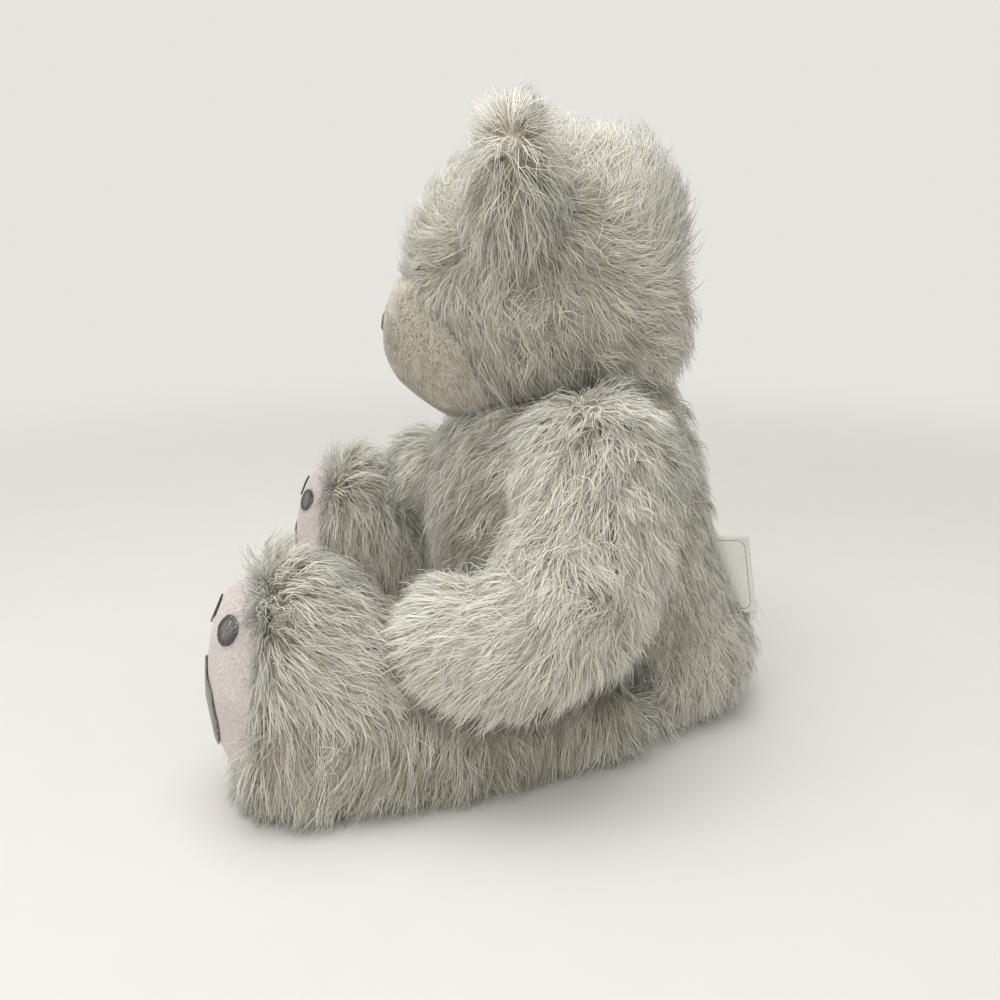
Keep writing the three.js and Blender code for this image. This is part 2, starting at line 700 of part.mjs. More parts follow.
const armFace = halfSpaceAbove(CLOTH_FACE, shoulderPlace);
const aboveNeckPlane = halfSpaceAbove(-2 * CLOTH_FACE, neckPlace);
const armOuter = clearOfLap(stuffed(armForm).intersect(armFace), 0).subtract(aboveNeckPlane);
const arm = limb(armForm, shoulderPlace, SHOULDER_DISC_RADIUS, armOuter, (body, gap) =>
  clearOfLap(body, CLAMPED_PLUSH + gap),
);
const pawFacing = vec(0, 0.97, -0.2).normalize(); // forward and a little inwards
const pawPlace = shoulderPlace
  .clone()
  .multiply(place(vec(-77 * ARM_LENGTH, 60 * ARM_LENGTH, 0.53 * ARM_WIDTH), pawFacing, vec(1, 0, 0)));
const pawStretch = new THREE.Matrix4().makeScale(PAW_PAD_WIDTH / 2, PAW_PAD_LENGTH / 2, 1);
const pawReach = column(1, 0, FAR / 4, pawPlace.clone().multiply(pawStretch), ROUND_SIDES);
const pawPad = pawReach.intersect(stuffed(armForm)).subtract(stuffed(armForm, -PAW_PAD_PROUD));
const pawSeat = pawReach.subtract(stuffed(armForm, -PAW_PAD_PROUD - FIT));
addArms("arm_cover", arm.cover.subtract(pawSeat), SILVER_PLUSH);
addArms("arm_stuffing", arm.fill, POLYESTER_FILL);
addArms("paw_pad", clearOfLap(pawPad.intersect(armFace), 0), LILAC_NAP);
addArms("shoulder_arm_disc", disc(SHOULDER_DISC_RADIUS, shoulderPlace, 1), HARDBOARD);
addArms("shoulder_arm_washer", washer(shoulderPlace, 1), STEEL);
addArms("shoulder_pin", cotterPin(shoulderPlace), STEEL);

// Head: cover, stuffing, muzzle with its embroidered nose and mouth, eyes on shanks, and ears

const headFace = halfSpaceAbove(CLOTH_FACE, neckPlace);
const head = limb(headForm, neckPlace, NECK_DISC_RADIUS, stuffed(headForm).intersect(headFace));

const eyeTurn = radians(EYE_TURN);
const eyeOut = vec(Math.sin(eyeTurn), -Math.cos(eyeTurn), 0);
const eyeDepth = (HEAD_DEPTH / 2) * Math.sqrt(1 - (2 * EYE_SPREAD / HEAD_WIDTH) ** 2);
const eyePlace = place(
  vec(EYE_SPREAD, FACE_SET_BACK - eyeDepth, NECK_HEIGHT + EYE_HEIGHT),
  eyeOut,
  vec(-Math.cos(eyeTurn), -Math.sin(eyeTurn), 0),
);
const EYE_WASHER_FACE = -PLUSH - EYE_RADIUS / 2;
function eye(grow) {
  const rim = [0.3, 0.6, 0.85].map((share) => {
    const turn = (share * Math.PI) / 2;
    return [(EYE_RADIUS + grow) * Math.cos(turn), (EYE_RADIUS * 0.8 + grow) * Math.sin(turn)];
  });
  return turned(
    [
      [0, EYE_WASHER_FACE - EYE_WASHER_THICKNESS - 2 - grow],
      [EYE_SHANK_RADIUS + grow, EYE_WASHER_FACE - EYE_WASHER_THICKNESS - 2 - grow],
      [EYE_SHANK_RADIUS + grow, -EYE_RADIUS * 0.5 - grow],
      [EYE_RADIUS + grow, -grow],
      ...rim,
      [0, EYE_RADIUS * 0.8 + grow],
    ],
    eyePlace,
  );
}
const eyeWasher = (grow) =>
  turned(
    [
      [0, EYE_WASHER_FACE - EYE_WASHER_THICKNESS - grow],
      [EYE_WASHER_RADIUS + grow, EYE_WASHER_FACE - EYE_WASHER_THICKNESS - grow],
      [EYE_WASHER_RADIUS + grow, EYE_WASHER_FACE + grow],
      [0, EYE_WASHER_FACE + grow],
    ],
    eyePlace,
  );
const eyeRoom = eye(FIT).add(eyeWasher(FIT));
add("head_cover", cutBothSides(head.cover, eyeRoom), SILVER_PLUSH);
add("head_stuffing", cutBothSides(head.fill, eyeRoom), POLYESTER_FILL);
addPair("eye", eye(0), GLOSSY_BLACK);
addPair("eye_washer", eyeWasher(0).subtract(eye(FIT)), WHITE_PLASTIC);

const headGrown = stuffed(headForm, FIT);
const muzzleOuter = (grow) => stuffed(muzzleForm, grow).intersect(headFace);
add("muzzle", cutBothSides(muzzleOuter(0).subtract(headGrown), eye(FIT)), MUZZLE_PLUSH);

const facePlace = place(
  aboveNeck(MUZZLE_ROOT - MUZZLE_LENGTH, MUZZLE_LIFT),
  vec(0, -1, 0),
  vec(-1, 0, 0),
);
const onMuzzle = (outline, proud) =>
  slab(outline, -MUZZLE_LENGTH / 2, PLUSH, facePlace)
    .intersect(muzzleOuter(proud))
    .subtract(muzzleOuter(FIT));
const NOSE_RISE = 4;
const noseShape = new THREE.Shape();
noseShape.moveTo(NOSE_RISE - NOSE_HEIGHT / 2, 0);
noseShape.quadraticCurveTo(NOSE_RISE, NOSE_WIDTH * 0.34, NOSE_RISE + NOSE_HEIGHT * 0.25, NOSE_WIDTH / 2);
noseShape.quadraticCurveTo(NOSE_RISE + NOSE_HEIGHT * 0.75, 0, NOSE_RISE + NOSE_HEIGHT * 0.25, -NOSE_WIDTH / 2);
noseShape.quadraticCurveTo(NOSE_RISE, -NOSE_WIDTH * 0.34, NOSE_RISE - NOSE_HEIGHT / 2, 0);
add("nose", onMuzzle(noseShape, NOSE_PROUD), DARK_THREAD);

// The mouth: a line down from the nose that parts into two upturned ends
const mouthTop = NOSE_RISE - NOSE_HEIGHT / 2 - FIT;
const half = MOUTH_THREAD / 2;
const MOUTH_DROP = 6;
const MOUTH_REACH = 10;
const mouthShape = new THREE.Shape();
mouthShape.moveTo(mouthTop, -half);
mouthShape.lineTo(mouthTop, half);
mouthShape.lineTo(mouthTop - MOUTH_DROP, half);
mouthShape.quadraticCurveTo(mouthTop - MOUTH_DROP - 5, 5, mouthTop - MOUTH_DROP, MOUTH_REACH);
mouthShape.lineTo(mouthTop - MOUTH_DROP - MOUTH_THREAD, MOUTH_REACH);
mouthShape.quadraticCurveTo(mouthTop - MOUTH_DROP - 7, 5, mouthTop - MOUTH_DROP - MOUTH_THREAD, 0);
mouthShape.quadraticCurveTo(mouthTop - MOUTH_DROP - 7, -5, mouthTop - MOUTH_DROP - MOUTH_THREAD, -MOUTH_REACH);
mouthShape.lineTo(mouthTop - MOUTH_DROP, -MOUTH_REACH);
mouthShape.quadraticCurveTo(mouthTop - MOUTH_DROP - 5, -5, mouthTop - MOUTH_DROP, -half);
mouthShape.closePath();
add("mouth_stitching", onMuzzle(mouthShape, MOUTH_THREAD), DARK_THREAD);

addPair("ear", stuffed(earForm).subtract(headGrown), SILVER_PLUSH);
add("neck_head_disc", disc(NECK_DISC_RADIUS, neckPlace, 1), HARDBOARD);
add("neck_head_washer", washer(neckPlace, 1), STEEL);
add("neck_pin", cotterPin(neckPlace), STEEL);

export default bear;
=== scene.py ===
"""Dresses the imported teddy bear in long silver-grey plush and sets it on a studio floor.

Every hair is a thin closed strand of mesh, rooted on a soft skin that follows the sewn cover under it.
Lengths are in metres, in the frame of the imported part: +Z up, the bear faces -Y, its left is +X.
"""

import json
import math
from collections import namedtuple

import bmesh
import bpy
import numpy as np
from bpy.props import FloatProperty, FloatVectorProperty, IntProperty, PointerProperty
from mathutils import Matrix, Vector
from mathutils.bvhtree import BVHTree
from mathutils.kdtree import KDTree


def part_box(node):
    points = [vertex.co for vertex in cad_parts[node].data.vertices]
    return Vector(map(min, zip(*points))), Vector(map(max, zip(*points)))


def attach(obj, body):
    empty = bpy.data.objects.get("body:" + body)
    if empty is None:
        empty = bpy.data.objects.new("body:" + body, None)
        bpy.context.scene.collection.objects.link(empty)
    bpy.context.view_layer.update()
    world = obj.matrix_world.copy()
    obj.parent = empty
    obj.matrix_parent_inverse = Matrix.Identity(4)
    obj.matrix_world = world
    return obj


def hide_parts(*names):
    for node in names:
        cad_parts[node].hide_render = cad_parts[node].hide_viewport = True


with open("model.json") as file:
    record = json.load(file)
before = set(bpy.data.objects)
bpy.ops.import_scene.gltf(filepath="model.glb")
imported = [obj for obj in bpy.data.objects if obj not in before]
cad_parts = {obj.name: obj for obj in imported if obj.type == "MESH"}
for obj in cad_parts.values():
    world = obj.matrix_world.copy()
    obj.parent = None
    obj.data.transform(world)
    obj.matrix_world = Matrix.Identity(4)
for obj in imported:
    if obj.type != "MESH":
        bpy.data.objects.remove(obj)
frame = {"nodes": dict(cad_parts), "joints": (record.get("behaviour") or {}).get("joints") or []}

bl_info = {
    "name": "Plush Bear",
    "version": (1, 0, 0),
    "blender": (4, 5, 0),
    "location": "View3D > Sidebar > Bear",
    "description": "Skins, grooms and lights a jointed teddy bear",
    "category": "Object",
}

MM = 0.001
SIDES = ("left", "right")
DOWN = np.array([0.0, 0.0, -1.0])
JOINTS = {joint["child"]: joint for joint in frame["joints"]}


def colour(name, description, default):
    return FloatVectorProperty(
        name=name, description=description, default=default, subtype="COLOR", size=3, min=0, max=1
    )


def length(name, description, default):
    return FloatProperty(name=name, description=description, default=default, unit="LENGTH")


class BearPlush(bpy.types.PropertyGroup):
    """The long plush and what it is sewn to."""

    pile: length("Pile", "Length of a long hair", 0.022)
    strand: length("Strand", "Width of a long hair at its thickest", 0.00038)
    density: FloatProperty(name="Density", description="Long hairs to a square millimetre", default=0.8)
    under_pile: length("Undercoat", "Length of a hair of the undercoat", 0.0155)
    under_strand: length("Undercoat strand", "Width of a hair of the undercoat", 0.00034)
    under_density: FloatProperty(
        name="Undercoat density", description="Hairs of the undercoat to a square millimetre", default=1.7
    )
    inset: length("Inset", "How far the cloth lies under the cover's outside", 0.003)
    lock: IntProperty(name="Lock", description="Hairs to a lock", default=8, min=2)
    tuft: IntProperty(name="Tuft", description="Hairs to a tuft of locks", default=70, min=2)
    # The root is darker partly in the plush's own colour and partly as painted shade deep in the pile
    root: colour("Root", "Colour of a hair at its root", (0.48, 0.415, 0.305))
    middle: colour("Middle", "Colour of a hair half way along", (0.885, 0.845, 0.73))
    tip: colour("Tip", "Colour of a hair at its tip", (1.0, 0.97, 0.885))
    ground: colour("Ground", "Colour of the cloth under the pile", (0.62, 0.56, 0.45))


class BearFace(bpy.types.PropertyGroup):
    """The short-pile muzzle and the face."""

    pile: length("Pile", "Length of the muzzle's pile", 0.0034)
    strand: length("Strand", "Width of the muzzle's pile", 0.00026)
    density: FloatProperty(name="Density", description="Hairs to a square millimetre", default=4.5)
    root: colour("Root", "Colour of the muzzle's pile at its root", (0.88, 0.8, 0.64))
    tip: colour("Tip", "Colour of the muzzle's pile at its tip", (1.0, 0.955, 0.83))
    thread: colour("Thread", "Colour of the nose and mouth", (0.03, 0.025, 0.022))
    eye: colour("Eye", "Colour of the eyes", (0.012, 0.009, 0.007))


class BearPads(bpy.types.PropertyGroup):
    """The soles, paw pads and label."""

    nap: colour("Nap", "Colour of the soles and paw pads", (0.68, 0.61, 0.58))
    pad: colour("Pad", "Colour of the main pad of a sole", (0.27, 0.25, 0.22))
    toe: colour("Toe", "Colour of the embroidered toes", (0.11, 0.1, 0.09))
    satin: colour("Satin", "Colour of the label", (0.8, 0.79, 0.74))
    border: colour("Border", "Colour of the line round the label", (0.25, 0.25, 0.24))


class BearStage(bpy.types.PropertyGroup):
    """The floor, the light and the camera."""

    floor: colour("Floor", "Colour of the floor", (0.78, 0.76, 0.72))
    sky: colour("Sky", "Colour behind the floor", (0.8, 0.78, 0.74))
    key: FloatProperty(name="Key", description="Strength of the overhead light", default=10.4, unit="POWER")
    fill: FloatProperty(name="Fill", description="Strength of the light all round", default=0.52)


# Materials


def new_material(name, **sockets):
    material = bpy.data.materials.new(name)
    material.use_nodes = True
    shader = material.node_tree.nodes["Principled BSDF"]
    for socket, value in sockets.items():
        shader.inputs[socket.replace("_", " ").title().replace("Ior", "IOR")].default_value = value
    return material, material.node_tree, shader


def rgba(value):
    return (*value, 1.0)


def grey(value):
    return (value, value, value)


def shaded(value, share):
    """A colour made darker or lighter by a share."""
    return tuple(min(1.0, share * c) for c in value)


def node(tree, kind, **settings):
    made = tree.nodes.new(kind)
    for key, value in settings.items():
        if hasattr(made, key):
            setattr(made, key, value)
        else:
            made.inputs[key.replace("_", " ").title()].default_value = value
    return made


def wired(tree, *pairs):
    """Links each pair of sockets."""
    for source, target in pairs:
        tree.links.new(source, target)


def ramp(tree, source, stops):
    made = tree.nodes.new("ShaderNodeValToRGB")
    steps = made.color_ramp.elements
    while len(steps) < len(stops):
        steps.new(0.5)
    for step, (place, value) in zip(steps, stops):
        step.position = place
        step.color = rgba(value)
    tree.links.new(source, made.inputs["Fac"])
    return made.outputs["Color"]


def multiplied(tree, first, second):
    mix = node(tree, "ShaderNodeMix", data_type="RGBA", blend_type="MULTIPLY")
    mix.inputs["Factor"].default_value = 1.0
    wired(tree, (first, mix.inputs["A"]), (second, mix.inputs["B"]))
    return mix.outputs["Result"]


def mottled(tree, shader, grain, dark, light, low=0.3):
    """Colours a surface from dark to light by a grain."""
    tree.links.new(ramp(tree, grain, [(low, dark), (0.7, light)]), shader.inputs["Base Color"])


def bumped(tree, shader, height, distance):
    bump = node(tree, "ShaderNodeBump", strength=1.0, distance=distance)
    wired(tree, (height, bump.inputs["Height"]), (bump.outputs["Normal"], shader.inputs["Normal"]))


def object_noise(tree, scale, detail=3.0, stretch=(1, 1, 1)):
    place = tree.nodes.new("ShaderNodeTexCoord")
    mapping = node(tree, "ShaderNodeMapping", scale=stretch)
    noise = node(tree, "ShaderNodeTexNoise", scale=scale, detail=detail)
    wired(
        tree,
        (place.outputs["Object"], mapping.inputs["Vector"]),
        (mapping.outputs["Vector"], noise.inputs["Vector"]),
    )
    return noise.outputs["Fac"]


def bake_map(tree):
    """Across and along the OFBake map."""
    chart = node(tree, "ShaderNodeUVMap", uv_map="OFBake")
    parts = tree.nodes.new("ShaderNodeSeparateXYZ")
    tree.links.new(chart.outputs["UV"], parts.inputs["Vector"])
    return parts.outputs["X"], parts.outputs["Y"]


DARKEST_HAIR = (0.46, 0.44, 0.4)  # share of its colour that the darkest hair keeps


def hair_material(name, stops):
    """A hair's colour: along its length by the map's height, and lighter or darker by the map's width."""
    material, tree, shader = new_material(
        name, roughness=0.62, specular_ior_level=0.28, sheen_weight=0.4, sheen_roughness=0.5
    )
    across, along = bake_map(tree)
    shade = ramp(tree, along, stops)
    tone = ramp(tree, across, [(0.0, DARKEST_HAIR), (1.0, grey(1))])
    tree.links.new(multiplied(tree, shade, tone), shader.inputs["Base Color"])
    return material


def ground_material(name, value):
    material, tree, shader = new_material(name, roughness=0.95, specular_ior_level=0.1)
    grain = object_noise(tree, 420, 4)
    mottled(tree, shader, grain, shaded(value, 0.55), value)
    bumped(tree, shader, grain, 0.0015)
    return material


def nap_material(name, value, fineness=700, relief=0.0005):
    """Short brushed cloth: a fine fuzz and soft darker patches where it has been stroked."""
    material, tree, shader = new_material(
        name, roughness=0.9, specular_ior_level=0.15, sheen_weight=0.35, sheen_roughness=0.5
    )
    fuzz = object_noise(tree, fineness, 3)
    patches = object_noise(tree, 45, 2)
    fine = ramp(tree, fuzz, [(0.3, shaded(value, 0.78)), (0.72, shaded(value, 1.08))])
    broad = ramp(tree, patches, [(0.35, grey(0.88)), (0.65, grey(1))])
    tree.links.new(multiplied(tree, fine, broad), shader.inputs["Base Color"])
    bumped(tree, shader, fuzz, relief)
    return material


THREAD_PITCH = 0.0007
BANDS_TO_A_UNIT = 0.314  # scale of a wave texture, times the width of one band


def thread_material(name, value, paler_middle=False):
    """Satin stitch: threads side by side, in a ring round a paler middle if asked."""
    material, tree, shader = new_material(name, roughness=0.55, specular_ior_level=0.4, sheen_weight=0.2)
    place = tree.nodes.new("ShaderNodeTexCoord")
    rows = node(tree, "ShaderNodeTexWave", bands_direction="X", wave_profile="SIN", distortion=1.2)
    rows.inputs["Scale"].default_value = BANDS_TO_A_UNIT / THREAD_PITCH
    rows.inputs["Detail Scale"].default_value = 3.0
    tree.links.new(place.outputs["Object"], rows.inputs["Vector"])
    # Painted light and shade: each band runs from the thread's colour in the groove to a lighter crown
    light = tuple(min(1, 2.6 * c + 0.02) for c in value)
    threads = ramp(tree, rows.outputs["Fac"], [(0.1, value), (0.9, light)])
    worn = ramp(tree, object_noise(tree, 600, 2), [(0.35, grey(0.55)), (0.65, grey(1))])
    stitched = multiplied(tree, threads, worn)
    if paler_middle:
        off = node(tree, "ShaderNodeVectorMath", operation="SUBTRACT")
        off.inputs[1].default_value = grey(0.5)
        away = node(tree, "ShaderNodeVectorMath", operation="LENGTH")
        wired(tree, (place.outputs["Generated"], off.inputs[0]), (off.outputs["Vector"], away.inputs[0]))
        ring = ramp(tree, away.outputs["Value"], [(0.3, grey(1)), (0.42, grey(0.36))])
        stitched = multiplied(tree, stitched, ring)
    tree.links.new(stitched, shader.inputs["Base Color"])
    bumped(tree, shader, rows.outputs["Fac"], 0.0004)
    return material


# Skins


def mesh_object(name, mesh):
    made = bpy.data.objects.new(name, mesh)
    bpy.context.scene.collection.objects.link(made)
    return made


def painted(piece, material):
    piece.data.materials.clear()
    piece.data.materials.append(material)


def finished(piece, body, slot, material, *replaced):
    painted(piece, material)
    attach(piece, body)
    if replaced:
        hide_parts(*replaced)
    return piece


def modified(made, kind, **settings):
    """Gives an object the mesh that one modifier makes of it."""
    modifier = made.modifiers.new(kind.lower(), kind)
    for key, value in settings.items():
        setattr(modifier, key, value)
    graph = bpy.context.evaluated_depsgraph_get()
    mesh = bpy.data.meshes.new_from_object(made.evaluated_get(graph))
    made.modifiers.clear()
    made.data = mesh


def outermost(mesh):
    """Only the largest of a mesh's islands, without the walls of any hollow inside it."""
    work = bmesh.new()
    work.from_mesh(mesh)
    unseen, islands = set(work.verts), []
    while unseen:
        island, edge = set(), [unseen.pop()]
        while edge:
            corner = edge.pop()
            island.add(corner)
            for line in corner.link_edges:
                other = line.other_vert(corner)
                if other in unseen:
                    unseen.remove(other)
                    edge.append(other)
        islands.append(island)
    largest = max(islands, key=lambda island: max(v.co.z for v in island) - min(v.co.z for v in island))
    for island in islands:
        if island is not largest:
            bmesh.ops.delete(work, geom=list(island), context="VERTS")
    work.to_mesh(mesh)
    work.free()


def soft_skin(name, cad_node, voxel, inset=0.0, smooth=10):
    """The outside of a cover as one even soft mesh, its facets smoothed away and drawn in by inset."""
    made = mesh_object(name, frame["nodes"][cad_node].data.copy())
    modified(made, "REMESH", mode="VOXEL", voxel_size=voxel)
    outermost(made.data)
    modified(made, "SMOOTH", factor=0.5, iterations=smooth)
    mesh = made.data
    if inset:
        moved(mesh, vertices(mesh) - inset * vertex_normals(mesh))
    mesh.shade_smooth()
    mesh.update()
    return made


def vertices(mesh):
    points = np.empty(len(mesh.vertices) * 3)
    mesh.vertices.foreach_get("co", points)
    return points.reshape(-1, 3)


def moved(mesh, points):
    mesh.vertices.foreach_set("co", points.ravel())
    mesh.update()


def vertex_normals(mesh):
    normals = np.empty(len(mesh.vertices) * 3)
    mesh.vertex_normals.foreach_get("vector", normals)
    return normals.reshape(-1, 3)


def unit(rows):
    return rows / np.maximum(np.linalg.norm(rows, axis=-1, keepdims=True), 1e-9)


def scattered(mesh, density, rng):
    """Roots at random over a mesh, with its smooth normals there."""
    mesh.calc_loop_triangles()
    corners = np.empty(len(mesh.loop_triangles) * 3, dtype=np.int32)
    mesh.loop_triangles.foreach_get("vertices", corners)
    corners = corners.reshape(-1, 3)
    points, normals = vertices(mesh), vertex_normals(mesh)
    a, b, c = points[corners[:, 0]], points[corners[:, 1]], points[corners[:, 2]]
    area = 0.5 * np.linalg.norm(np.cross(b - a, c - a), axis=1)
    count = int(area.sum() * density / MM**2)
    chosen = rng.choice(len(area), count, p=area / area.sum())
    u, v = rng.random((2, count))
    over = u + v > 1
    u[over], v[over] = 1 - u[over], 1 - v[over]
    weights = np.stack([1 - u - v, u, v], axis=1)[:, :, None]
    roots = (points[corners[chosen]] * weights).sum(axis=1)
    return roots, unit((normals[corners[chosen]] * weights).sum(axis=1))


def surface(cad_node):
    mesh = frame["nodes"][cad_node].data
    return BVHTree.FromPolygons([v.co for v in mesh.vertices], [tuple(p.vertices) for p in mesh.polygons])


def clear_of(roots, cad_nodes, gap):
    """Which roots lie outside these nodes and further than gap from them."""
    clear = np.ones(len(roots), dtype=bool)
    for cad_node in cad_nodes:
        tree = surface(cad_node)
        low, high = (np.array(corner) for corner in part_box(cad_node))
        near = np.all((roots > low - gap) & (roots < high + gap), axis=1) & clear
        for i in np.flatnonzero(near):
            spot, normal, _, distance = tree.find_nearest(Vector(roots[i]))
            inside = (Vector(roots[i]) - spot).dot(normal) < 0
            clear[i] = not inside and distance > gap
    return clear


JOINT_DEPTH = 7 * MM  # how far from a joint, along its axis, a cover is still its flat face


def off_joint(roots, child, radius):
    """Which roots lie off the flat face of a joint."""
    joint = JOINTS[child]
    axis = unit(np.array(joint["axis"]))
    off = roots - np.array(joint["pos_m"])
    along = off @ axis
    across = np.linalg.norm(off - along[:, None] * axis, axis=1)
    return (np.abs(along) > JOINT_DEPTH) | (across > radius)


def over_disc(skin, child, radius, inset):
    """Brings a skin back out to its solid over the disc of a joint, where it has no fur."""
    points = vertices(skin.data)
    bare = ~off_joint(points, child, radius)
    points[bare] += inset * vertex_normals(skin.data)[bare]
    moved(skin.data, points)


# The groom. A guide says how the pile lies near a point on the bear's left: combed along a heading, or
# parted away from the point where it has none. The point and its reach are in millimetres. Lift is the
# angle off the cloth in degrees, mess how far locks stray, the next column their tone and long their share
# of the pile. That tone is partly the plush's own and partly painted light and shade: paler where the light
# falls, darker in hollows, under the jaw and arms and between the legs.

Guide = namedtuple("Guide", "where heading reach lift mess pale long", defaults=[1.0])


def guided(*rows):
    return [Guide(*row) for row in rows]


HEAD_GROOM = guided(
    # Crown and back, combed up from a line behind the ear, pale partly as painted light on the top of the
    # head
    ((49, 2, 276), (-0.6, 0.4, 0.7), 16, 20, 0.1, 0.9),
    ((33, 26, 280), (-0.8, 0, 0.6), 18, 20, 0.08, 1),
    ((32, 36, 262), (-0.2, 0, 1), 20, 16, 0.08, 1),
    ((0, 46, 262), (0, 0, 1), 24, 18, 0.1, 0.85),
    ((52, 21, 249), (-0.2, 0.15, 1), 14, 16, 0.1, 0.95),
    ((62, 7, 240), (-0.1, 0.7, 0.6), 9, 18, 0.15, 0.85),
    # Painted shade: dark hair in the hollow behind the ear
    ((62, -9, 252), (0, 0.6, -0.7), 10, 16, 0.2, 0, 0.7),
    # Below the line, combed down and back
    ((62, -6, 216), (0, 0.6, -0.8), 13, 28, 0.35, 0.8),
    ((49, 22, 213), (-0.4, 0.7, -0.6), 14, 22, 0.35, 1),
    ((27, 40, 206), (-0.1, 0.8, -0.5), 16, 44, 0.25, 0.95, 1.25),
    ((0, 48, 212), (0, 0.5, -0.8), 20, 44, 0.2, 0.75, 1.2),
    ((42, 24, 197), (-0.2, 0.95, -0.3), 12, 40, 0.3, 0.8, 1.15),
    # Cheek and jaw
    ((60, -42, 220), (0, 0.1, -1), 14, 34, 0.5, 0.5),
    ((65, -24, 228), (0, -0.2, -1), 14, 36, 0.55, 0.4),
    ((60, -15, 208), (0, 0.2, -1), 12, 34, 0.5, 0.4),
    ((52, -56, 222), (0, 0.4, -0.9), 12, 24, 0.3, 0.6, 0.9),
    ((42, -52, 198), (0, 0.55, -0.8), 10, 22, 0.25, 0.6, 0.9),
    ((30, -76, 227), (0.3, 0.45, -0.8), 7, 8, 0.15, 0.6, 0.6),
    ((38, -67, 215), (0.2, 0.5, -0.8), 7, 8, 0.15, 0.6, 0.7),
    ((40, -70, 243), (-0.6, -0.5, -0.3), 7, 52, 0.35, 0.6),
    ((36, -73, 236), (-0.6, -0.5, 0), 5, 52, 0.3, 0.6, 0.9),
    ((36, -48, 188), (0, 0.25, -1), 10, 36, 0.2, 0.6, 1.4),
    ((24, -50, 184), (-0.1, 0.2, -1), 12, 44, 0.2, 0.5, 1.4),
    # Painted shade: dark hair on the neck under the jaw
    ((50, -12, 188), (0, 1, 0.1), 14, 26, 0.2, 0.15),
    ((57, 2, 203), (0, 0.8, -0.4), 8, 44, 0.9, 0.25),
    # Brow
    ((37, -70, 248), (0, -0.4, 0.7), 14, 44, 0.4, 0.5),
    ((46, -60, 258), (0.2, -0.8, 0.3), 12, 40, 0.4, 0.5),
    ((15, -62, 280), (0, 0.1, 1), 18, 40, 0.35, 0.6),
    ((8, -80, 245), (0, -0.2, 1), 12, 46, 0.35, 0.55, 0.8),
)
EAR_GROOM = guided(
    ((58, -37, 303), (-0.2, 0, 1), 11, 36, 0.35, 0.8, 0.75),
    ((72, -48, 290), (0, -1, 0), 10, 54, 0.35, 0.8, 1.35),
    ((72, -25, 290), (0, 1, 0), 10, 54, 0.35, 0.8, 1.35),
    ((78, -36, 276), (0, 0, -1), 9, 38, 0.4, 0.95, 1.1),
    ((68, -47, 266), (0.2, -1, -0.7), 12, 60, 0.35, 0.75, 1.3),
    ((68, -25, 262), (0.2, 1, -0.6), 12, 60, 0.35, 0.75, 1.3),
    ((66, -34, 252), (0, 0.1, -1), 9, 50, 0.35, 0.95, 1.4),
    ((42, -37, 290), (-0.8, 0, 0.5), 12, 40, 0.3, 0.5, 0.9),
)
TORSO_GROOM = guided(
    # Chest and sides, darker low on the chest and down the side as painted shade under the arm
    ((4, -63, 152), (0, -0.4, -0.9), 18, 48, 0.3, 0.7, 1.1),
    ((8, -70, 124), (0, 0, -1), 22, 36, 0.25, 0.4),
    ((0, -80, 80), (0, 0, -1), 34, 34, 0.25, 0.2),
    ((40, -34, 158), (0, -0.8, -0.55), 14, 30, 0.25, 0.4),
    ((53, -38, 110), (-0.2, -0.6, -0.7), 20, 34, 0.35, 0.15),
    # Back, flat beside the label
    ((0, 60, 152), (0, 0.3, -1), 22, 44, 0.3, 0.6),
    ((30, 54, 124), (0.1, 0.3, -1), 18, 30, 0.3, 0.55, 0.9),
    ((30, 66, 86), (0.3, -0.1, -1), 16, 5, 0.1, 0.5, 0.35),
    ((44, 58, 86), (0.2, 0, -1), 14, 8, 0.2, 0.45, 0.5),
    ((52, 46, 100), (0.1, 0.3, -0.95), 14, 36, 0.4, 0.65),
    ((52, 54, 62), (0, 0.45, -0.9), 14, 38, 0.4, 0.75),
    ((56, 38, 52), (0, 0, -1), 16, 40, 0.45, 0.3),
    # Seat
    ((47, 60, 40), (0, 0.4, -0.9), 16, 46, 0.35, 1, 1.1),
    ((43, 36, 16), (0.2, 0.1, -0.9), 16, 34, 0.35, 0.7),
    ((44, 32, 22), (0.5, -0.4, -0.6), 10, 62, 0.4, 0.95, 1.3),
    ((0, 96, 40), (0, 0.3, -1), 26, 40, 0.35, 0.6),
)
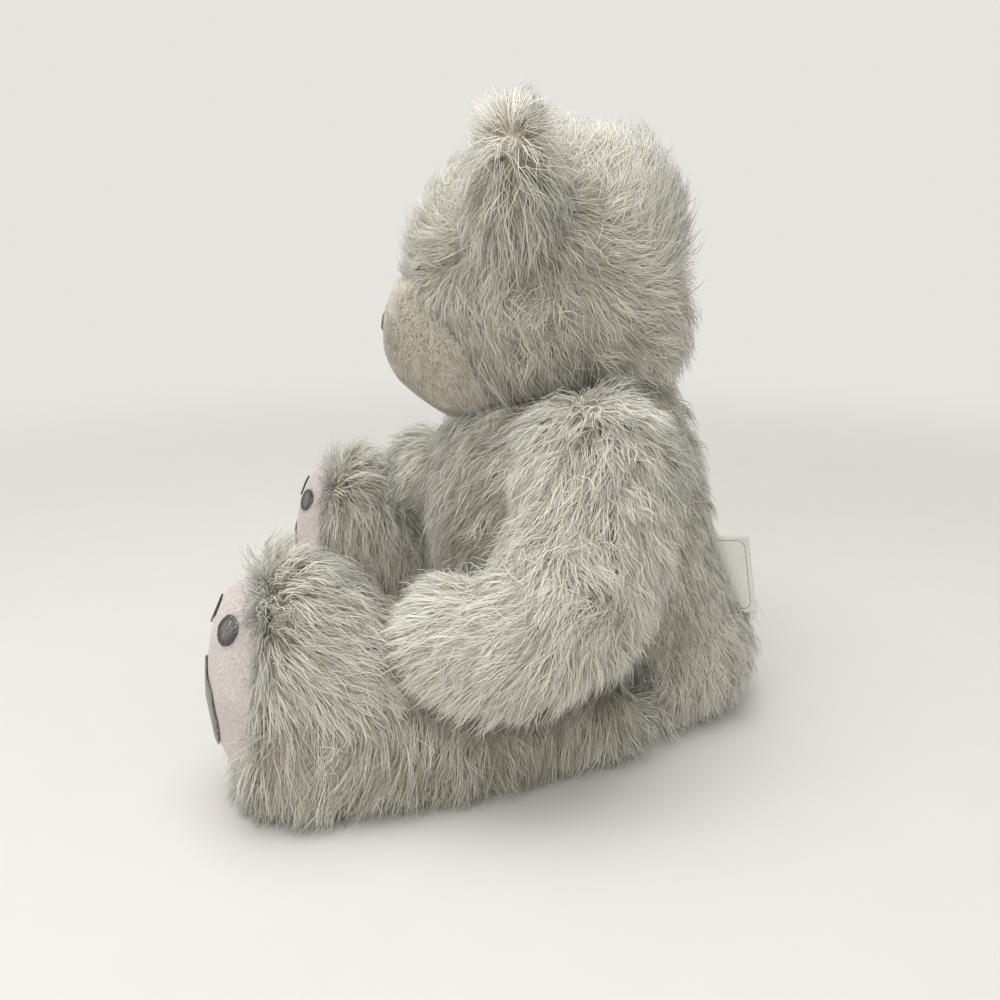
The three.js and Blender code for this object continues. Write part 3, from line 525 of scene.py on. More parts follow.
ARM_GROOM = guided(
    # Shoulder and upper arm
    ((75, -6, 179), None, 16, 38, 0.3, 0.65),
    ((87, -26, 156), (0, -0.4, -0.9), 14, 26, 0.12, 1),
    ((70, -30, 165), (0, -0.85, -0.5), 12, 26, 0.12, 0.9),
    ((93, 2, 164), (0.4, 0, -0.9), 14, 34, 0.4, 0.8),
    ((86, 22, 168), (0.1, 0.6, -0.8), 14, 36, 0.35, 0.75),
    ((87, 30, 150), (-0.2, 0.5, -0.8), 14, 36, 0.35, 0.75),
    ((105, 2, 142), (0.3, -0.2, -0.9), 14, 36, 0.5, 0.75),
    ((103, 20, 131), (0.1, 0.3, -0.95), 14, 34, 0.35, 0.85),
    # Elbow
    ((121, 0, 108), (0, -0.2, -1), 13, 44, 1.1, 0.8),
    ((106, 26, 100), (0, 0.15, -1), 14, 34, 0.2, 1),
    ((131, -17, 80), (0.1, -0.7, -0.65), 11, 28, 0.2, 0.8),
    ((119, 2, 74), (-0.2, -0.25, -0.9), 11, 32, 0.2, 0.95),
    # Forearm and paw, combed forward, and pale partly as painted light on their lit top
    ((121, -18, 113), (0.2, -0.85, -0.5), 10, 24, 0.15, 0.9),
    ((128, -40, 96), (0, -0.97, -0.2), 14, 20, 0.08, 1),
    ((127, -63, 88), (0, -1, -0.15), 14, 20, 0.08, 1),
    ((115, -86, 85), (-0.2, -1, 0), 12, 24, 0.15, 0.95),
    ((130, -50, 66), (-0.2, -0.7, -0.65), 13, 28, 0.15, 0.8, 1.1),
    ((126, -72, 72), (-0.3, -0.75, -0.5), 12, 28, 0.15, 0.85, 1.1),
    ((110, -30, 48), (0, -0.3, -1), 14, 34, 0.2, 0.5, 1.1),
    ((80, -40, 70), (-0.4, -0.6, -0.7), 20, 30, 0.25, 0.6),
)
LEG_GROOM = guided(
    # Top of the foot
    ((102, -146, 110), (0, 0.2, 1), 10, 50, 0.35, 0.9, 0.9),
    ((112, -138, 107), (0.2, 0.6, 0.1), 13, 52, 0.35, 0.95),
    ((90, -128, 110), (0.2, 0.7, 0.4), 12, 44, 0.3, 0.75),
    ((121, -134, 102), (0.4, 0.75, -0.2), 9, 36, 0.3, 0.9),
    ((126, -143, 96), (0.2, 0.85, 0.15), 8, 30, 0.25, 0.85, 0.9),
    ((118, -119, 98), (0.1, 0.7, -0.7), 12, 30, 0.3, 0.6),
    ((112, -107, 92), (0, 0.75, -0.65), 12, 32, 0.35, 0.6),
    # Outside of the foot
    ((128, -130, 88), (-0.2, 0.95, 0), 8, 28, 0.3, 0.7),
    ((131, -141, 84), (0.1, 0.5, -0.8), 9, 22, 0.2, 0.65, 0.75),
    ((131, -126, 70), (0, 0.4, -0.9), 11, 28, 0.2, 1),
    ((125, -108, 74), (-0.2, 0.9, 0.1), 9, 34, 0.5, 0.7),
    ((129, -114, 62), (-0.1, 0.8, -0.5), 8, 28, 0.3, 0.95),
    ((125, -97, 58), (0, 0.3, -0.95), 10, 34, 0.35, 0.6),
    ((129, -111, 42), (0.1, -0.85, -0.5), 11, 28, 0.2, 0.5),
    ((131, -128, 44), (0, 0.2, -0.95), 9, 28, 0.2, 0.5, 1.1),
    ((134, -140, 50), (0, 0.1, -1), 9, 22, 0.2, 0.7, 0.85),
    ((126, -148, 26), (0.2, 0.2, -0.9), 9, 26, 0.2, 0.5, 0.85),
    ((132, -124, 24), (0, 0.1, -1), 14, 42, 0.25, 0.45, 1.6),
    ((126, -124, 8), (0.6, -0.1, -0.6), 12, 50, 0.25, 0.4, 1.25),
    # Outside of the leg, with a fringe along the floor
    ((110, -86, 72), (0, 0.65, -0.75), 12, 34, 0.35, 0.5),
    ((122, -91, 28), (0.2, -0.7, -0.65), 12, 36, 0.25, 0.4, 1.2),
    ((116, -73, 34), (0.2, -0.55, -0.8), 12, 36, 0.3, 0.3),
    ((112, -60, 10), (0.6, -0.1, -0.8), 14, 50, 0.3, 0.2, 1.15),
    ((109, -50, 22), (0, -0.15, -1), 14, 38, 0.3, 0.12),
    ((98, -22, 24), (0.1, -0.3, -0.9), 14, 28, 0.3, 0.1, 0.95),
    ((85, 6, 22), (0, -0.25, -0.95), 14, 22, 0.3, 0.25, 0.85),
    ((84, -6, 44), (0.8, -0.3, -0.5), 16, 30, 0.3, 0.2),
    ((70, 20, 34), (0, 0.4, 0.8), 8, 60, 0.4, 0.9, 1.2),
    ((80, 17, 20), (0.1, 0.8, -0.5), 9, 46, 0.3, 0.5, 1.2),
    # Inside, dark as painted shade between the legs
    ((86, -141, 108), (-0.4, 0.8, 0), 10, 40, 0.3, 0.3),
    ((80, -122, 98), (-0.4, 0.45, -0.8), 13, 34, 0.25, 0.25),
    ((72, -146, 70), (-0.2, 0.35, -0.9), 12, 22, 0.2, 0.3, 0.8),
    ((68, -109, 68), (-0.25, 0.2, -0.95), 18, 36, 0.2, 0.2, 1.1),
    ((58, -70, 30), (-0.1, 0.1, -1), 22, 36, 0.3, 0.02),
)
MUZZLE_GROOM = guided(
    ((0, -92, 224), (0, 0.3, 1), 16, 60, 0.5, 1),
    ((34, -74, 204), (0.2, 0.9, 0), 20, 58, 0.5, 0.95),
    # Painted shade: darker pile under the muzzle
    ((0, -84, 178), (0, 0.6, -0.8), 20, 56, 0.5, 0.15, 1.1),
)
WEIGHT = 0.02  # how far a hair's own weight turns it down, next to its heading
FAR = 1e-7  # least weight of a guide, so that the nearest still counts far from all


def groomed(roots, normals, guides):
    """How the pile lies at each root, blended from the guides: its heading on the cloth and its measures."""
    side = np.where(roots[:, :1] < 0, -1.0, 1.0) * np.array([[1.0, 0, 0]]) + np.array([[0, 1.0, 1.0]])
    points = roots * side
    total = np.full(len(roots), 1e-9)
    heading, lie = np.zeros_like(roots), np.zeros((len(roots), 4))
    for guide in guides:
        off = points - np.array(guide.where) * MM
        weight = np.exp(-0.5 * (off**2).sum(axis=1) / (guide.reach * MM) ** 2) + FAR
        way = unit(off) if guide.heading is None else unit(np.array([guide.heading], dtype=float))
        total += weight
        heading += weight[:, None] * way
        lie += weight[:, None] * np.array([guide[3:]])
    heading *= side / total[:, None]
    heading += WEIGHT * DOWN
    flat = heading - normals * (heading * normals).sum(axis=1, keepdims=True)
    lift, mess, tone_and_shade, long = (lie / total[:, None]).T
    return unit(flat), np.radians(lift), mess, tone_and_shade, long


BEND = (1.25, 0.75, 0.3)  # share of its lift that each third of a hair keeps
DROOP = (0.0, 0.1, 0.25)  # how much each third falls
PULL = (0.0, 0.14, 0.36, 0.58)  # how far each point of a hair is drawn to its lock's leader
STRAYS = 0.07  # share of hairs that keep to no lock


def gathered(roots, share, rng):
    """Leaders picked from the roots, one to each share of them, and the nearest leader to each root."""
    leaders = rng.choice(len(roots), max(1, len(roots) // share), replace=False)
    tree = KDTree(len(leaders))
    for i, leader in enumerate(leaders):
        tree.insert(roots[leader], i)
    tree.balance()
    return leaders, np.array([tree.find(root)[1] for root in roots])


def locks(roots, normals, guides, pile, per_lock, per_tuft, rng, to_guide):
    """Each hair as four points from root to tip, gathered into locks and tufts, with a tone for each that
    holds painted light and shade.
    """
    turn = to_guide[:3, :3]
    heading, lift, mess, tone_and_shade, long = groomed(roots @ turn.T + to_guide[:3, 3], normals @ turn.T, guides)
    heading = heading @ turn
    count = len(roots)
    leaders, lock = gathered(roots, per_lock, rng)
    tuft_leaders, tuft = gathered(roots, per_tuft, rng)
    stray = rng.random(count) < STRAYS

    def varied(of_tuft, of_lock, of_hair):
        """A measure by chance for each hair, shared in part by its tuft and its lock."""
        tufts = rng.normal(0, 1, len(tuft_leaders))[tuft] * of_tuft
        return tufts + rng.normal(0, 1, len(leaders))[lock] * of_lock + rng.normal(0, 1, count) * of_hair

    aside = varied(0.9 * mess, 0.06 + 0.5 * mess, np.where(stray, 0.6, 0.14))
    sideways = np.cross(normals, heading)
    heading = heading * np.cos(aside)[:, None] + sideways * np.sin(aside)[:, None]
    lift = np.clip(lift * (1 + varied(0.16, 0.2, 0.14)) + 0.3 * stray, 0.12, 1.35)
    reach = pile * long * np.clip(1 + varied(0.06, 0.09, 0.14), 0.45, 1.35)

    points = np.empty((count, 4, 3))
    points[:, 0] = roots - normals * MM
    for step in range(3):
        rise = lift * BEND[step]
        way = heading * np.cos(rise)[:, None] + normals * np.sin(rise)[:, None] + DROOP[step] * DOWN
        points[:, step + 1] = points[:, step] + unit(way) * (reach / 3)[:, None]
    leading = points[leaders][lock]
    tightness = np.where(stray, 0.1, np.clip(0.9 + varied(0.2, 0.3, 0), 0.2, 1.4))[:, None]
    sway = rng.normal(0, 1, count) * (0.05 + 0.12 * mess) * reach
    sway = unit(np.cross(normals, heading)) * sway[:, None]
    crimp = (0.02 + 0.05 * mess) * reach
    for step in range(1, 4):
        pull = PULL[step] * tightness
        points[:, step] += pull * (leading[:, step] - points[:, step]) + sway * (step / 3) ** 2
        points[:, step] += rng.normal(0, 1, (count, 3)) * crimp[:, None]
        height = ((points[:, step] - roots) * normals).sum(axis=1)
        least = (0.4 + 0.9 * step) * MM  # off the cloth
        points[:, step] += normals * np.maximum(0, least - height)[:, None]
    ground = (0.3 + 1.2 * rng.random((count, 1))) * MM  # where hairs bend along the floor
    points[:, :, 2] = np.maximum(points[:, :, 2], ground)
    # Painted shade: hairs far from their lock's leader, in the parted gaps between locks, are made darker;
    # the tone by tuft and lock also varies at random, partly the plush's own and partly painted shade between
    # tufts
    apart = np.linalg.norm(roots - roots[leaders][lock], axis=1)
    apart = np.clip(apart / max(np.median(apart), 1e-6) - 1, -1, 1)
    tone = np.clip(tone_and_shade + varied(0.14, 0.23, 0.13) - 0.3 * apart, 0.02, 0.98)
    return points, tone


# Rings round a hair: how far along it in thirds, and their share of its width
LONG_HAIR = ((1, 1.0), (2, 0.75))
SHORT_HAIR = ((1.4, 1.0),)
CLOTH_SHADING = 0.7  # how far a hair is shaded by the cloth it grows on
LOWEST = 0.1 * MM  # of any hair, above the floor


def strand_faces(rings):
    """Faces of a hair three-sided between its rings, with the root and tip after the rings."""
    faces = [(i, (i + 2) % 3, 3 * rings) for i in range(3)]
    for low in range(0, 3 * rings - 3, 3):
        faces += [(low + i, low + (i + 1) % 3, low + 3 + (i + 1) % 3, low + 3 + i) for i in range(3)]
    return faces + [(3 * rings - 3 + i, 3 * rings - 3 + (i + 1) % 3, 3 * rings + 1) for i in range(3)]


def strand_mesh(name, points, normals, tone, width, rings, rng):
    """Closed hairs, pointed at both ends and shaded mostly by the lie of the cloth under them.

    Their map holds tone across and root to tip along.
    """
    count, corner_count = len(points), 3 * len(rings) + 2
    twist = unit(rng.normal(0, 1, (count, 3)))
    radius = 0.5 * width * np.clip(rng.normal(1, 0.22, count), 0.45, 1.6)
    corners = np.empty((count, corner_count, 3))
    facing = np.repeat(normals[:, None], corner_count, axis=1)
    for ring, (along, girth) in enumerate(rings):
        before = min(int(along), 2)
        middle = points[:, before] + (along - before) * (points[:, before + 1] - points[:, before])
        way = unit(points[:, math.floor(along) + 1] - points[:, math.ceil(along) - 1])
        across = unit(np.cross(way, twist))
        other = np.cross(way, across)
        for i in range(3):
            angle = 2 * math.pi * i / 3
            spoke = across * math.cos(angle) + other * math.sin(angle)
            corners[:, 3 * ring + i] = middle + spoke * (radius * girth)[:, None]
            facing[:, 3 * ring + i] = unit(CLOTH_SHADING * normals + (1 - CLOTH_SHADING) * spoke)
    corners[:, -2], corners[:, -1] = points[:, 0], points[:, 3]
    corners[:, :, 2] = np.maximum(corners[:, :, 2], LOWEST)

    faces = strand_faces(len(rings))
    face_sizes = np.array([len(face) for face in faces])
    face_corners = np.array([corner for face in faces for corner in face])
    mesh = bpy.data.meshes.new(name)
    mesh.vertices.add(count * corner_count)
    mesh.vertices.foreach_set("co", corners.ravel())
    index = (np.arange(count)[:, None] * corner_count + face_corners[None]).ravel()
    mesh.loops.add(len(index))
    mesh.loops.foreach_set("vertex_index", index)
    starts = np.concatenate([[0], np.cumsum(np.tile(face_sizes, count))[:-1]])
    mesh.polygons.add(len(starts))
    mesh.polygons.foreach_set("loop_start", starts)
    mesh.polygons.foreach_set("use_smooth", np.ones(len(starts), dtype=bool))
    # A ring's corners lie a little apart across the map, so that each face has some area there
    chart = np.empty((count, corner_count, 2))
    chart[:, :, 0] = tone[:, None] * 0.98 + np.array([0, 0.006, 0.012] * len(rings) + [0.006] * 2)
    chart[:, :, 1] = np.array([along / 3 for along, _ in rings for _ in range(3)] + [0.02, 0.98])
    mesh.uv_layers.new(name="OFBake").data.foreach_set("uv", chart[:, face_corners].ravel())
    mesh.update(calc_edges=True)
    mesh.normals_split_custom_set_from_vertices(facing.reshape(-1, 3))
    return mesh


def fur(names, hairs, width, rings, material, body, slot, rng, order):
    """Fur as one piece to each name, parted into equal shares along the order given."""
    rank = np.argsort(order, kind="stable")
    for name, share in zip(names, np.array_split(rank, len(names))):
        mesh = strand_mesh(name, *(of_hair[share] for of_hair in hairs), width, rings, rng)
        finished(mesh_object(name, mesh), body, slot, material)


def plush_materials(context):
    """The long plush's hair and the cloth under it, made once."""
    plush = context.scene.bear_plush
    if "long_plush" not in bpy.data.materials:
        stops = [(0.0, plush.root), (0.42, plush.middle), (0.95, plush.tip)]
        hair_material("long_plush", [(place, tuple(value)) for place, value in stops])
        ground_material("plush_ground", tuple(plush.ground))
    return bpy.data.materials["long_plush"], bpy.data.materials["plush_ground"]


UNDERSIDE = -0.75  # cloth whose normal points further down than this is sat on
SAT_ON_SHARE = 0.5  # of the hairs, that grow there
# Rings of a hair in each layer, and how much paler it is; the undercoat is darker, partly in its own colour
# and partly as painted shade deep in the pile
UNDERCOAT = (SHORT_HAIR, -0.2)
LONG_COAT = (LONG_HAIR, 0.0)


def amount(density):
    return density * 1.0


def plush_skin(context, body, name, voxel, fill, *replaced, smooth=10):
    """The cloth of a cover of long plush, in place of its solid and of what fills it."""
    _, ground = plush_materials(context)
    skin = soft_skin(name, replaced[0], voxel, context.scene.bear_plush.inset, smooth)
    finished(skin, body, "plush", ground, *replaced)
    return skin


def coat(context, skin, body, panels, axis, guides, furred, rng, to_guide=np.eye(4)):
    """Long hair over a finer undercoat on a skin, where furred allows, parted into panels along an axis."""
    plush = context.scene.bear_plush
    hair, _ = plush_materials(context)
    for layer, density, pile, width, lock, rings, shade in (
        ("undercoat", plush.under_density, plush.under_pile, plush.under_strand, 2 * plush.lock, *UNDERCOAT),
        ("fur", plush.density, plush.pile, plush.strand, plush.lock, *LONG_COAT),
    ):
        roots, normals = scattered(skin.data, amount(density), rng)
        keep = furred(roots) & ((normals[:, 2] > UNDERSIDE) | (rng.random(len(roots)) < SAT_ON_SHARE))
        roots, normals = roots[keep], normals[keep]
        points, tone = locks(roots, normals, guides, pile, lock, plush.tuft, rng, to_guide)
        hairs = (points, normals, np.clip(tone + shade, 0, 1))
        names = [f"{panel}_{layer}" for panel in panels]
        fur(names, hairs, width, rings, hair, body, "plush", rng, roots[:, axis])


# Radius round a joint's axis in which a cover has no fur, on the torso and on what it carries
BARE_NECK = (44 * MM, 46 * MM)
BARE_SHOULDER = (26 * MM, 26 * MM)
BARE_HIP = (24 * MM, 22 * MM)
HIP_FACE = 26 * MM  # radius in which the cloth lies out over a hip's disc
COVER_VOXEL = 4 * MM


class BEAR_OT_torso(bpy.types.Operator):
    """Skins and furs the torso."""

    bl_idname = "bear.torso"
    bl_label = "Torso"

    def execute(self, context):
        rng = np.random.default_rng(11)
        inside = ("torso_stuffing", "pellet_bag")
        skin = plush_skin(context, "torso", "torso_skin", COVER_VOXEL, 0.8, "torso_cover", *inside)

        def furred(roots):
            keep = off_joint(roots, "head", BARE_NECK[0]) & clear_of(roots, ["sewn_label"], 5 * MM)
            for side in SIDES:
                keep &= off_joint(roots, f"{side}_arm", BARE_SHOULDER[0])
                keep &= off_joint(roots, f"{side}_leg", BARE_HIP[0])
            return keep

        panels = ["torso_chest", "torso_front", "torso_back", "torso_rump"]
        coat(context, skin, "torso", panels, 1, TORSO_GROOM, furred, rng)
        for side in SIDES:
            over_disc(skin, f"{side}_leg", HIP_FACE, context.scene.bear_plush.inset)
        return {"FINISHED"}


class BEAR_OT_head(bpy.types.Operator):
    """Skins and furs the head."""

    bl_idname = "bear.head"
    bl_label = "Head"

    def execute(self, context):
        rng = np.random.default_rng(12)
        skin = plush_skin(context, "head", "head_skin", COVER_VOXEL, 0.9, "head_cover", "head_stuffing")

        def furred(roots):
            keep = off_joint(roots, "head", BARE_NECK[1])
            keep &= clear_of(roots, ["left_ear", "right_ear"], 0.5 * MM) & clear_of(roots, ["muzzle"], 2 * MM)
            return keep & clear_of(roots, ["left_eye", "right_eye"], 1.5 * MM)

        panels = ["head_right", "head_middle", "head_left"]
        coat(context, skin, "head", panels, 0, HEAD_GROOM, furred, rng)
        return {"FINISHED"}


class BEAR_OT_ears(bpy.types.Operator):
    """Skins and furs both ears."""

    bl_idname = "bear.ears"
    bl_label = "Ears"

    def execute(self, context):
        for seed, side in enumerate(SIDES, 21):
            rng = np.random.default_rng(seed)
            ear = f"{side}_ear"
            skin = plush_skin(context, "head", f"{ear}_skin", 3 * MM, 0.5, ear, smooth=6)

            def furred(roots):
                return clear_of(roots, ["head_cover"], 0.5 * MM)

            coat(context, skin, "head", [ear], 2, EAR_GROOM, furred, rng)
        return {"FINISHED"}


def right_arm_to_left():
    """Carries points of the right arm, as it rests, to where the left arm rests."""
    joint = JOINTS["right_arm"]
    low = math.radians(joint["range_deg"][0])
    spot = Vector(joint["pos_m"])
    turn = Matrix.Rotation(low, 4, Vector(joint["axis"]))
    lowered = Matrix.Translation(spot) @ turn @ Matrix.Translation(-spot)
    return np.array(Matrix.Diagonal((-1, 1, 1, 1)) @ lowered)


class BEAR_OT_arms(bpy.types.Operator):
    """Skins and furs both arms."""

    bl_idname = "bear.arms"
    bl_label = "Arms"

    def execute(self, context):
        for seed, side, to_left in ((31, "left", np.eye(4)), (32, "right", right_arm_to_left())):
            rng = np.random.default_rng(seed)
            arm = f"{side}_arm"
            cover, stuffing = f"{arm}_cover", f"{arm}_stuffing"
            skin = plush_skin(context, arm, f"{arm}_skin", 3.5 * MM, 0.8, cover, stuffing)

            def furred(roots):
                keep = off_joint(roots, arm, BARE_SHOULDER[1])
                return keep & clear_of(roots, [f"{side}_paw_pad"], 2.5 * MM)

            panels = [f"{side}_paw", f"{side}_upper_arm"]
            coat(context, skin, arm, panels, 2, ARM_GROOM, furred, rng, to_left)
        return {"FINISHED"}


class BEAR_OT_legs(bpy.types.Operator):
    """Skins and furs both legs."""

    bl_idname = "bear.legs"
    bl_label = "Legs"

    def execute(self, context):
        for seed, side in enumerate(SIDES, 41):
            rng = np.random.default_rng(seed)
            leg = f"{side}_leg"
            cover, stuffing = f"{leg}_cover", f"{leg}_stuffing"
            skin = plush_skin(context, leg, f"{leg}_skin", COVER_VOXEL, 0.8, cover, stuffing)

            def furred(roots):
                return off_joint(roots, leg, BARE_HIP[1]) & clear_of(roots, [f"{side}_sole"], 3 * MM)

            panels = [f"{side}_foot", f"{side}_thigh"]
            coat(context, skin, leg, panels, 1, LEG_GROOM, furred, rng)
            over_disc(skin, leg, HIP_FACE, context.scene.bear_plush.inset)
        return {"FINISHED"}


CHIN = 11 * MM  # how far the soft chin hangs below its seam
CHIN_TOP, CHIN_DEPTH = 195 * MM, 14 * MM  # it starts to hang here, and hangs in full so far below
CHIN_FRONT, CHIN_LENGTH = -94 * MM, 28 * MM  # the same from front to back
MUZZLE_TUFT = 60  # hairs to a tuft


class BEAR_OT_muzzle(bpy.types.Operator):
    """Skins the muzzle and gives it a short dense pile."""

    bl_idname = "bear.muzzle"
    bl_label = "Muzzle"

    def execute(self, context):
        face = context.scene.bear_face
        rng = np.random.default_rng(51)
        skin = soft_skin("muzzle_skin", "muzzle", 3 * MM, MM, 6)
        points = vertices(skin.data)
        under = np.clip((CHIN_TOP - points[:, 2]) / CHIN_DEPTH, 0, 1)
        points[:, 2] -= CHIN * under * np.clip((points[:, 1] - CHIN_FRONT) / CHIN_LENGTH, 0, 1)
        moved(skin.data, points)
        finished(skin, "head", "muzzle_plush", ground_material("muzzle_ground", tuple(face.root)), "muzzle")
        roots, normals = scattered(skin.data, amount(face.density), rng)
        keep = clear_of(roots, ["head_cover"], 0.5 * MM)
        keep &= clear_of(roots, ["nose", "mouth_stitching"], 1.2 * MM)
        roots, normals = roots[keep], normals[keep]
        points, tone = locks(roots, normals, MUZZLE_GROOM, face.pile, 1, MUZZLE_TUFT, rng, np.eye(4))
        hair = hair_material("short_plush", [(0.0, tuple(face.root)), (1.0, tuple(face.tip))])
        names = ["muzzle_pile_right", "muzzle_pile_left"]
        hairs = (points, normals, tone)
        fur(names, hairs, face.strand, SHORT_HAIR, hair, "head", "muzzle_plush", rng, roots[:, 0])
        return {"FINISHED"}


class BEAR_OT_face(bpy.types.Operator):
    """Embroiders the nose and mouth and finishes the eyes."""

    bl_idname = "bear.face"
    bl_label = "Face"

    def execute(self, context):
        face = context.scene.bear_face
        thread = thread_material("dark_thread", tuple(face.thread))
        for cad_node, voxel in (("nose", 0.0008), ("mouth_stitching", 0.00035)):
            made = soft_skin(f"{cad_node}_embroidery", cad_node, voxel, 0.0, 4)
            finished(made, "head", "dark_thread", thread, cad_node)
        material, tree, shader = new_material(
            "eye_plastic", roughness=0.12, coat_weight=1.0, coat_roughness=0.04, ior=1.5
        )
        swirl = object_noise(tree, 260, 2)
        mottled(tree, shader, swirl, tuple(face.eye), shaded(face.eye, 2.2), low=0.35)
        for side in SIDES:
            painted(frame["nodes"][f"{side}_eye"], material)
        return {"FINISHED"}


class BEAR_OT_pads(bpy.types.Operator):
    """Makes the soles with their embroidered toes, and the paw pads."""

    bl_idname = "bear.pads"
    bl_label = "Soles and pads"

    def execute(self, context):
        pads = context.scene.bear_pads
        nap = nap_material("pale_nap", tuple(pads.nap))
        suede = nap_material("grey_suede", tuple(pads.pad), 900, 0.0003)
        toe = thread_material("toe_thread", tuple(pads.toe), paler_middle=True)
        for side in SIDES:
            leg = f"{side}_leg"
            sole = soft_skin(f"{side}_sole_pad", f"{side}_sole", 0.0022, 0.0, 10)
            finished(sole, leg, "lilac_nap", nap, f"{side}_sole")
            main = soft_skin(f"{side}_main_pad", f"{side}_sole_main_pad", 0.0009, 0.0, 4)
            finished(main, leg, "grey_pad", suede, f"{side}_sole_main_pad")
            for name in ("outer_toe", "middle_toe", "inner_toe"):
                made = mesh_object(f"{side}_{name}_embroidery", frame["nodes"][f"{side}_{name}"].data.copy())
                made.data.shade_smooth()
                made.data.set_sharp_from_angle(angle=math.radians(40))
                finished(made, leg, "dark_thread", toe, f"{side}_{name}")
            paw = soft_skin(f"{side}_palm", f"{side}_paw_pad", 0.0009, 0.0, 4)
            finished(paw, f"{side}_arm", "lilac_nap", nap, f"{side}_paw_pad")
        return {"FINISHED"}


LABEL_RIGHTED = math.radians(3.5)  # how far the label stands straighter than its solid
LABEL_SWING = math.radians(17)  # how far its free edge swings to the bear's left
LABEL_SAG = 0.12  # drop of its free edge, for each unit of width
LABEL_RISE = 6 * MM  # how far its seam sits above the solid's
LABEL_SQUARES = (24, 34)  # across and up
LABEL_THICKNESS = 0.5 * MM
# The line round the label: its way in from the edge, the radius of its corners and half its width
BORDER_MARGIN, BORDER_CORNER, BORDER_LINE = 0.0026, 0.0045, 0.0002


def turned(tall, wide, angle):
    """Two axes turned in their plane."""
    cos, sin = math.cos(angle), math.sin(angle)
    return tall * cos + wide * sin, wide * cos - tall * sin


def label_plane():
    """The middle of the label's solid, its axes up and across, and its height and width along them."""
    cad = vertices(frame["nodes"]["sewn_label"].data)
    middle = cad.mean(axis=0)
    tall, wide, _ = np.linalg.svd(cad - middle, full_matrices=False)[2]
    tall, wide = tall * np.sign(tall[2]), wide * np.sign(wide[1])

    def box_area(angle):
        return math.prod(np.ptp(cad @ way) for way in turned(tall, wide, angle))

    tall, wide = turned(tall, wide, min(np.radians(np.linspace(-12, 12, 241)), key=box_area))
    for way in (tall, wide):
        reach = (cad - middle) @ way
        middle = middle + way * (reach.max() + reach.min()) / 2
    return middle, tall, wide, np.ptp(cad @ tall), np.ptp(cad @ wide)


class BEAR_OT_label(bpy.types.Operator):
    """Sews the bare satin label into the back seam."""

    bl_idname = "bear.label"
    bl_label = "Label"

    def execute(self, context):
        pads = context.scene.bear_pads
        middle, tall, wide, height, width = label_plane()
        tall, wide = turned(tall, wide, LABEL_RIGHTED)
        out = wide * math.cos(LABEL_SWING) + np.array([math.sin(LABEL_SWING), 0, -LABEL_SAG])
        seam = middle - wide * width / 2 + tall * LABEL_RISE
        across, up = LABEL_SQUARES
        mesh = bpy.data.meshes.new("label_cloth")
        work = bmesh.new()
        chart = work.loops.layers.uv.new("OFBake")
        grid = []
        for j in range(up + 1):
            row = []
            for i in range(across + 1):
                u, v = i / across - 0.5, j / up - 0.5
                # A slow wave up the label, a curl at its free edge and a fine ripple
                bow = 0.0012 * math.sin(2.2 * v + 0.4) - 0.004 * max(0, u) ** 2
                bow += 0.0007 * math.sin(9 * u + 3 * v)
                spot = seam + out * ((u + 0.5) * width) + tall * (v * height) + np.array([bow, 0, 0])
                row.append(work.verts.new(spot))
            grid.append(row)
        for j in range(up):
            for i in range(across):
                quad = work.faces.new((grid[j][i], grid[j][i + 1], grid[j + 1][i + 1], grid[j + 1][i]))
                for loop, (du, dv) in zip(quad.loops, ((0, 0), (1, 0), (1, 1), (0, 1))):
                    loop[chart].uv = ((i + du) / across, (j + dv) / up)
        work.to_mesh(mesh)
        work.free()
        mesh.shade_smooth()
        label = mesh_object("label_cloth", mesh)
        thick = label.modifiers.new("thick", "SOLIDIFY")
        thick.thickness = LABEL_THICKNESS
        thick.offset = 0
        finished(label, "torso", "label_satin", self.satin(pads, width, height), "sewn_label")
        return {"FINISHED"}

    def satin(self, pads, width, height):
        """White satin with a fine weave, and a thin rounded line drawn inside its edge."""
        material, tree, shader = new_material(
            "label_satin", roughness=0.42, specular_ior_level=0.45, sheen_weight=0.2
        )

        def math_node(operation, first, second=None):
            made = node(tree, "ShaderNodeMath", operation=operation)
            for socket, value in zip(made.inputs, (first, second)):
                if value is None:
                    continue
                if isinstance(value, (int, float)):
                    socket.default_value = value
                else:
                    tree.links.new(value, socket)
            return made.outputs[0]

        outside = []
        for place, size in zip(bake_map(tree), (width, height)):
            off = math_node("ABSOLUTE", math_node("SUBTRACT", place, 0.5))
            straight = float(size / 2 - BORDER_MARGIN - BORDER_CORNER)
            outside.append(math_node("SUBTRACT", math_node("MULTIPLY", off, float(size)), straight))
        clipped = [math_node("MAXIMUM", past, 0.0) for past in outside]
        squares = [math_node("MULTIPLY", past, past) for past in clipped]
        round_part = math_node("SQRT", math_node("ADD", *squares))
        flat_part = math_node("MINIMUM", math_node("MAXIMUM", *outside), 0.0)
        inward = math_node("SUBTRACT", math_node("ADD", round_part, flat_part), BORDER_CORNER)
        on_line = math_node("LESS_THAN", math_node("ABSOLUTE", inward), BORDER_LINE)
        weave = object_noise(tree, 1500, 2, (1, 1, 0.25))
        cloth = ramp(tree, weave, [(0.3, shaded(pads.satin, 0.92)), (0.7, shaded(pads.satin, 1.04))])
        mix = node(tree, "ShaderNodeMix", data_type="RGBA")
        mix.inputs["B"].default_value = rgba(pads.border)
        wired(
            tree,
            (on_line, mix.inputs["Factor"]),
            (cloth, mix.inputs["A"]),
            (mix.outputs["Result"], shader.inputs["Base Color"]),
        )
        bumped(tree, shader, weave, 0.0001)
        return material


